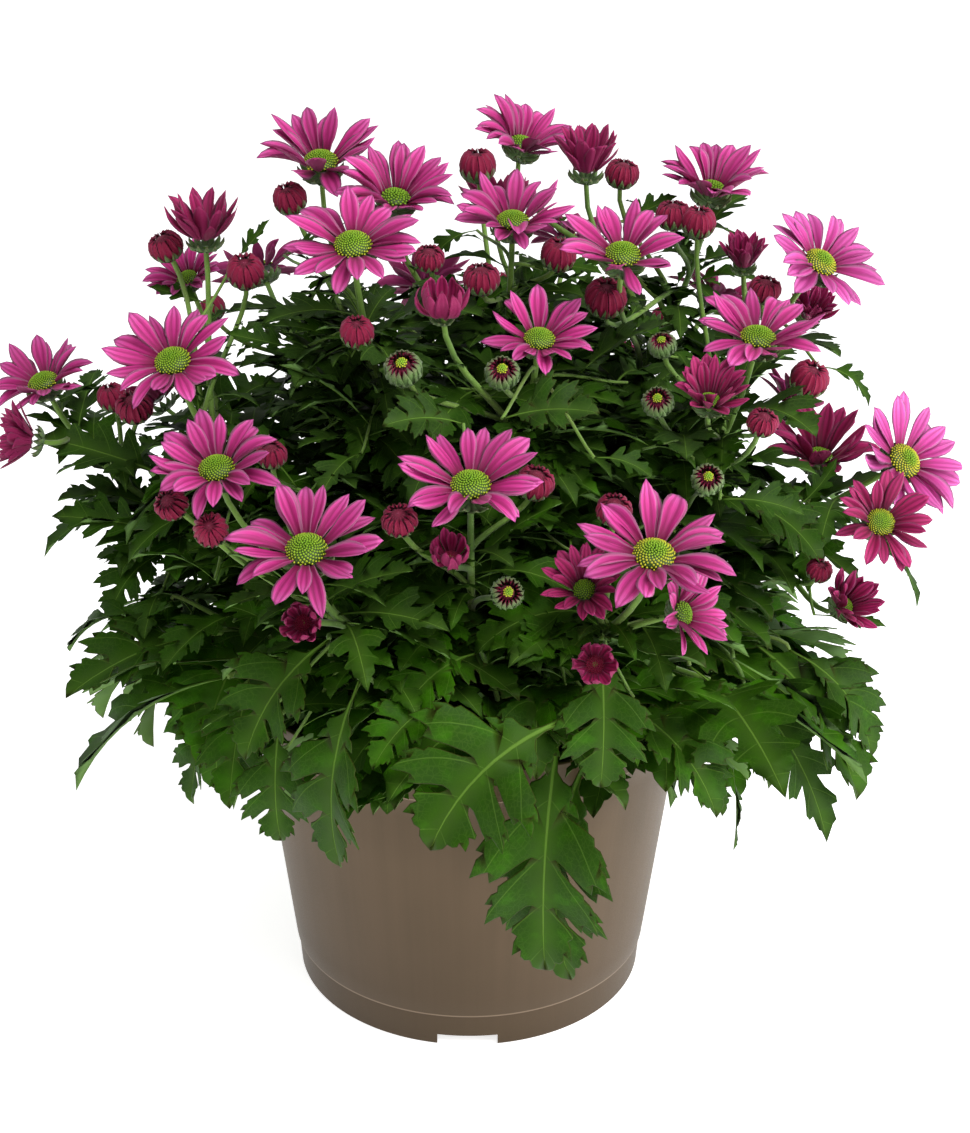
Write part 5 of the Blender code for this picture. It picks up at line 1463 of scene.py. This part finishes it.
def buildLeaves():
    draw = random.Random(leafRules["fillSeed"])
    rows = {plant: [] for plant in plants}
    planned = [leaf for leaf in planLeaves() + fillLeaves()
               if insideBox(leafPoint(leaf, 1, 0)) and not hidesFlower(leaf) and not coversRimLeaf(leaf)]
    for leaf in planned + hangLeaves():
        length = leaf["length"]
        if length > leafRules["large"]:
            variant = draw.choice((0, 1, 1, 3))
        elif length > leafRules["middling"]:
            variant = draw.choice((5, 2, 3))
        else:
            variant = draw.choice((2, 4))
        low = 1 - min(1, max(0, (leaf["at"].z - 130 * mm) / (170 * mm)))
        rows[leaf["plant"]].append({
            "at": leaf["at"], "heading": math.radians(leaf["heading"] - 90), "length": length,
            "pitch": math.radians(leaf["pitch"]), "droop": math.radians(leaf["droop"]),
            "roll": math.radians(leaf["roll"]),
            "wide": leaf.get("wide", draw.uniform(0.9, 1.15)), "variant": leaf.get("variant", variant),
            "fresh": leaf.get("fresh", min(1.0, max(0.0, 0.08 + 0.55 * low + draw.uniform(-0.25, 0.25)))),
        })
    for plant, leaves in rows.items():
        mesh = grow(bladeTree, {"Blades": leafShapes, "Cup": leafRules["cup"], "Finish": finishes["leaf"]},
                    pointsMesh(leaves))
        addPiece(plant + "_leaves", mesh, "foliage", plant)
    print("leaves grown:", sum(len(leaves) for leaves in rows.values()))


buildLeaves()

# stems
stemLook = {"ridges": 5, "ridgeDepth": 0.16, "limbPoints": 16, "stalkPoints": 9}


def stemLines(plant):
    # every line of a plant: (points, radii)
    size = stemSizes
    x, y = plants[plant]
    low = Vector((x * mm, y * mm, size["soilTop"] - size["depth"]))
    lines = [([low, low + Vector((0, 0, size["depth"] + size["rise"]))], [size["base"]] * 2)]

    def addLine(route, count, radius, tip):
        steps = [i / (count - 1) for i in range(count)]
        lines.append(([routePoint(route, t) for t in steps], [radius + (tip - radius) * t for t in steps]))

    for limb, (owner, leader) in limbs.items():
        if owner == plant:
            addLine(limbRoute(limb), stemLook["limbPoints"], size["limb"], size["stalk"])
    for turn in shoots.get(plant, ()):
        addLine(shootRoute(plant, turn), stemLook["limbPoints"], size["limb"], size["stalk"])
    for head in allHeads.values():
        owner, leader = limbs[head.limb]
        if owner == plant and head.name != leader:
            thin = 0.95 if head.kind == "bud" else 1.25
            addLine(stalkRoute(head), stemLook["stalkPoints"], thin * size["stalk"], 0.9 * size["stalk"])
    for owner, route in twigs:
        if owner == plant:
            addLine(route, stemLook["stalkPoints"], twigRules["thick"], 0.6 * twigRules["thick"])
    for root, *_ in sprayLeaves:
        owner, route = sprayRoute(Vector(root) * mm)
        if owner == plant:
            addLine(route, stemLook["stalkPoints"], twigRules["thick"], 0.7 * twigRules["thick"])
    for owner, turn, root, *_ in rimLeaves:
        if owner == plant:
            addLine(hangRoute(owner, turn, root), stemLook["stalkPoints"], size["stalk"], 0.8 * size["stalk"])
    return lines


def buildStems():
    for plant in plants:
        verts, edges, thick = [], [], []
        for points, radii in stemLines(plant):
            start = len(verts)
            verts += points
            thick += radii
            edges += [(start + i, start + i + 1) for i in range(len(points) - 1)]
        lines = bpy.data.meshes.new("lines")
        lines.from_pydata(verts, edges, [])
        lines.attributes.new("thick", "FLOAT", "POINT").data.foreach_set("value", thick)
        mesh = grow(stemTree, {"Ridges": stemLook["ridges"], "Ridge Depth": stemLook["ridgeDepth"],
                               "Finish": finishes["stem"]}, lines)
        addPiece(plant + "_stems", mesh, "foliage", plant)


buildStems()
print("stems grown")

# flowers
flowerLook = {
    "open": {
        "petals": 19, "layers": 2, "width": 0.36, "hub": 0.115, "length": 0.425, "uneven": 0.3, "cup": 0.12},
    "cup": {
        "petals": 20, "layers": 2, "width": 0.35, "hub": 0.12, "length": 0.45, "uneven": 0.25, "cup": 0.16},
    "crown": {
        "petals": 23, "layers": 3, "width": 0.36, "hub": 0.13, "length": 0.52, "uneven": 0.2, "cup": 0.2},
    "burst": {
        "petals": 14, "layers": 2, "width": 0.42, "hub": 0.15, "length": 0.58, "uneven": 0.1, "cup": 0.35},
    "goblet": {
        "petals": 13, "layers": 2, "width": 0.36, "hub": 0.12, "length": 0.78, "uneven": 0.08, "cup": 0.1},
}
youngFlowers = ("bloom_16", "bloom_18", "bloom_24")
paleFlowers = ("bloom_12", "bloom_15")
agedDiscs = {"bloom_15": 1.5, "bloom_17": 1.25, "bloom_12": 1.35, "bloom_16": 1.1}


def floretMesh():
    # a closed tube floret, a five-sided bead on a short neck
    bead = bmesh.new()
    peakLayer = bead.verts.layers.float.new("peak")
    rings = []
    # peak is low at the neck, which takes the painted shade between the florets, and high at the top
    for radius, height, peak in ((0.42, -0.4, 0.1), (0.44, 0.4, 0.9)):
        ring = []
        for i in range(5):
            angle = math.tau * i / 5
            vert = bead.verts.new((radius * math.cos(angle), radius * math.sin(angle), height))
            vert[peakLayer] = peak
            ring.append(vert)
        rings.append(ring)
    tip = bead.verts.new((0, 0, 0.6))
    tip[peakLayer] = 1.0
    for low, high in zip(rings, rings[1:]):
        for i in range(5):
            bead.faces.new((low[i], low[(i + 1) % 5], high[(i + 1) % 5], high[i]))
    for i in range(5):
        bead.faces.new((rings[-1][i], rings[-1][(i + 1) % 5], tip))
    bead.faces.new(rings[0][::-1])
    return meshFrom("floret", bead)


floretShapes = shapeCollection("floret", [floretMesh()])


def domeMesh(radius, height, depth, finish):
    # the solid receptacle that florets or folded petals stand on
    ball = bmesh.new()
    bmesh.ops.create_uvsphere(ball, u_segments=14, v_segments=8, radius=1)
    for vert in ball.verts:
        rise = height if vert.co.z > 0 else depth
        vert.co = Vector((vert.co.x * radius, vert.co.y * radius, vert.co.z * rise))
    mesh = meshFrom("dome", ball)
    # on the floret finish, peak 0 gives the whole dome the painted shade between the florets
    for name, value in (("rim", 0.6), ("peak", 0.0), ("age", 1.0), ("fresh", 0.5)):
        mesh.attributes.new(name, "FLOAT", "POINT").data.foreach_set("value", [value] * len(mesh.vertices))
    mesh.attributes.new("top", "FLOAT", "CORNER").data.foreach_set("value", [1.0] * len(mesh.loops))
    mesh.uv_layers.new(name="UVMap")
    mesh.materials.append(finish)
    return mesh


def buildDisc(head, nodes, finish=finishes["floret"], slotName="disc_florets"):
    size = head.across
    isOpen = head.kind == "open"
    wide = {"open": flowerShares["discRadius"], "cup": 0.12, "crown": 0.13, "goblet": 0.2}[head.kind]
    radius = wide * size
    height = flowerShares["discDome"] * size * (0.8 if isOpen else 0.6)
    count = 200 if isOpen else 90
    florets = grow(floretTree, {
        "Count": count, "Disc Radius": radius * 0.97, "Dome Height": height,
        "Floret Width": 1.8 * radius / math.sqrt(count), "Seed": 3 + len(head.name),
        "Age": agedDiscs.get(head.name, 0.85 if isOpen else 0.3), "Florets": floretShapes, "Finish": finish})
    base = domeMesh(radius * 0.98, height * 0.92, 0.6 * mm, finish)
    mesh = joinMeshes("disc", [florets, base])
    mesh.transform(head.frame @ Matrix.Translation((0, 0, 0.9 * mm)))
    addPiece(head.name + "_disc", mesh, slotName, *nodes)


def petalBend(head):
    # how steeply the petals leave the hub and how far they bend back, by how far the flower has opened
    if head.kind == "goblet":
        return 12, -104
    if head.kind == "crown":
        return 0.9 * head.lift, -0.1 * head.lift
    if head.kind == "burst":
        return 1.2 * head.lift, -0.35 * head.lift
    return 1.3 * head.lift, max(0.7 * head.lift, 6)


def buildPetals(head, nodes):
    look, size = flowerLook[head.kind], head.across
    pitch, droop = petalBend(head)
    seed = int(head.name[-2:]) * 31 + len(head.name)
    young = head.kind in ("crown", "burst", "goblet") or head.name in youngFlowers
    finish = finishes["young" if young else "pale" if head.name in paleFlowers else "ray"]
    count = look["petals"] + (seed % 3 - 1)
    mesh = grow(ringTree, {
        "Count": count, "Layers": look["layers"], "Hub Radius": look["hub"] * size, "Hub Height": 0.0,
        "Length": look["length"] * size, "Width": look["width"], "Pitch": math.radians(pitch),
        "Droop": math.radians(droop), "Layer Pitch": math.radians(flowerShares["layerLift"]),
        "Unevenness": look["uneven"], "Shapes": 4, "Seed": seed, "Blades": petalShapes, "Cup": look["cup"],
        "Finish": finish})
    if head.kind == "burst":
        core = domeMesh(0.85 * flowerShares["hub"] * size, 0.22 * size, 0.3 * mm, finish)
        mesh = joinMeshes("petals", [mesh, core])
    mesh.transform(head.frame)
    addPiece(head.name + "_petals", mesh, "young_petals" if young else "open_petals", *nodes)


def buildFlowers():
    for head in allHeads.values():
        if head.kind == "bud":
            continue
        # the smallest flowers are part of their plant
        nodes = [limbs[head.limb][0]] if head.name.startswith("burst") else [head.name]
        buildPetals(head, nodes)
        if head.kind == "open":
            buildDisc(head, [head.name.replace("bloom", "disc")])
        elif head.kind == "goblet":
            buildDisc(head, nodes, finishes["folded"], "young_petals")
        elif head.kind != "burst":
            buildDisc(head, nodes)


buildFlowers()
print("flowers opened")

# buds and the green cups behind the flowers
greenBuds = ("bud_11", "bud_12", "bud_14", "bud_23", "bud_24", "bud_22")


def ringOf(values):
    base = {"Layers": 1, "Hub Height": 0.0, "Layer Pitch": 0.0, "Unevenness": 0.05, "Shapes": 1, "Seed": 4,
            "Cup": 0.0}
    return grow(ringTree, {**base, **values})


def budParts():
    # one unit across, facing up: scales hug the lower half, folded petals close over the top
    bracts = [
        ringOf({"Count": count, "Layers": 2, "Hub Radius": 0.06, "Hub Height": -0.47, "Length": reach,
                "Width": 0.34, "Pitch": 0.0, "Droop": -bend, "Blades": bractShapes,
                "Finish": finishes["bract"], "Seed": seed})
        for count, reach, bend, seed in ((12, 0.84, 1.72, 3), (12, 0.78, 1.6, 5), (18, 1.22, 2.45, 7))
    ]
    petals = [
        joinMeshes("ball", [domeMesh(core, core, core, finishes["folded"]), ringOf({
            "Count": count, "Layers": 2, "Hub Radius": 0.04, "Hub Height": -0.44, "Length": reach,
            "Width": wide, "Pitch": 0.05, "Droop": -bend, "Blades": foldedShapes,
            "Finish": finishes["folded"], "Seed": seed})])
        for count, reach, wide, bend, seed, core in (
            (15, 1.3, 0.16, 2.8, 11, 0.41), (15, 1.2, 0.17, 2.6, 13, 0.4), (18, 1.1, 0.13, 2.4, 15, 0.3))
    ]
    return bracts, petals


bractCups, foldedBalls = budParts()


def cupParts():
    # the green cup behind an open flower, its rim at the petals' ring, one unit being the flower's width
    return [ringOf({
        "Count": 14, "Layers": 2, "Hub Radius": 0.02, "Hub Height": -0.12, "Length": 0.21, "Width": 0.4,
        "Pitch": math.radians(-8), "Droop": math.radians(-75), "Blades": bractShapes,
        "Finish": finishes["bract"], "Seed": 9})]


# how wide the cup behind a flower is, against the flower
cupShares = {"open": 1.0, "cup": 1.0, "crown": 1.2, "burst": 1.35, "goblet": 1.3}
greenShare = 0.86  # a green bud's width against a closed red one's


def buildBuds():
    cupShapes = shapeCollection("budCup", bractCups)
    ballShapes = shapeCollection("budBall", foldedBalls)
    calyxShapes = shapeCollection("calyx", cupParts())
    heart = grow(floretTree, {"Count": 34, "Disc Radius": 0.18, "Dome Height": 0.12, "Floret Width": 0.075,
                              "Age": 1.0, "Seed": 2, "Florets": floretShapes, "Finish": finishes["floret"]})
    heartShapes = shapeCollection("budHeart", [joinMeshes("heart", [
        heart, domeMesh(0.18, 0.11, 0.1, finishes["floret"])])])

    def addParts(plant, ending, slotName, shapes, finishName, rows):
        if rows:
            mesh = grow(partTree, {"Parts": shapes, "Finish": finishes[finishName]}, pointsMesh(rows))
            addPiece(plant + ending, mesh, slotName, plant)

    for plant in plants:
        own = [head for head in allHeads.values() if limbs[head.limb][0] == plant]
        budRows, heartRows, flowerRows = [], [], []
        for head in own:
            isGreen = head.name in greenBuds
            if head.kind != "bud":
                flowerRows.append({"at": head.frame.translation, "facing": head.out,
                                   "across": head.across * cupShares[head.kind], "variant": 0})
                continue
            budRows.append({"at": head.middle, "facing": head.out,
                            "across": head.across * (greenShare if isGreen else 1.0),
                            "variant": 2 if isGreen else int(head.name[-1]) % 2})
            if isGreen:
                heartRows.append({"at": head.middle + head.out * 0.26 * head.across, "facing": head.out,
                                  "across": greenShare * head.across, "variant": 0})
        addParts(plant, "_bud_bracts", "foliage", cupShapes, "bract", budRows)
        addParts(plant, "_bud_petals", "young_petals", ballShapes, "folded", budRows)
        addParts(plant, "_bud_hearts", "disc_florets", heartShapes, "floret", heartRows)
        addParts(plant, "_calyxes", "foliage", calyxShapes, "bract", flowerRows)


buildBuds()
print("buds set")

# the ready-made shapes have been copied onto their pieces and aren't part of the scene
for name in ("petal", "bract", "folded", "leaf", "floret", "crumb", "budCup", "budBall", "budHeart", "calyx"):
    shapes = bpy.data.collections[name]
    for shape in list(shapes.objects):
        bpy.data.objects.remove(shape)
    bpy.data.collections.remove(shapes)

# studio
studio = {
    "paper": {"dark": "#F4F4F4", "light": "#FCFCFC", "glow": 0.74}, "sky": 0.5, "key": 14.5, "fill": 10.5,
    "lens": 52.94, "sensor": 36, "lookDown": 21.17, "roll": 0.0068,
}


def addLight(name, place, aim, size, power):
    data = bpy.data.lights.new(name, "AREA")
    data.shape = "DISK"
    data.size = size
    data.energy = power
    light = addObject(name, data)
    light.location = place
    light.rotation_euler = (Vector(aim) - Vector(place)).to_track_quat("-Z", "Y").to_euler()


def buildStudio():
    sheet = bmesh.new()
    bmesh.ops.create_grid(sheet, x_segments=8, y_segments=8, size=40)
    mesh = meshFrom("floor", sheet)
    mesh.materials.append(mattPaper(studio["paper"]))
    floor = addObject("floor", mesh)
    floor.location.z = -0.2 * mm
    world = bpy.data.worlds.new("softbox")
    world.use_nodes = True
    background = world.node_tree.nodes["Background"]
    background.inputs["Color"].default_value = (1, 1, 1, 1)
    background.inputs["Strength"].default_value = studio["sky"]
    bpy.context.scene.world = world
    addLight("key", (0.35, -0.75, 1.35), (0, 0, 0.2), 0.8, studio["key"])
    addLight("fill", (1.2, -0.5, 0.5), (0, 0, 0.12), 0.7, studio["fill"])
    # the photo's own view, 0.81 m from the pot's foot
    data = bpy.data.cameras.new("camera")
    data.sensor_width = studio["sensor"]
    data.lens = studio["lens"]
    camera = addObject("camera", data)
    tilt = Matrix.Rotation(math.radians(90 - studio["lookDown"]), 4, "X")
    roll = Matrix.Rotation(studio["roll"], 4, "Z")
    camera.matrix_world = Matrix.Translation(viewer) @ (tilt @ roll)
    bpy.context.scene.camera = camera


buildStudio()
print("studio lit")
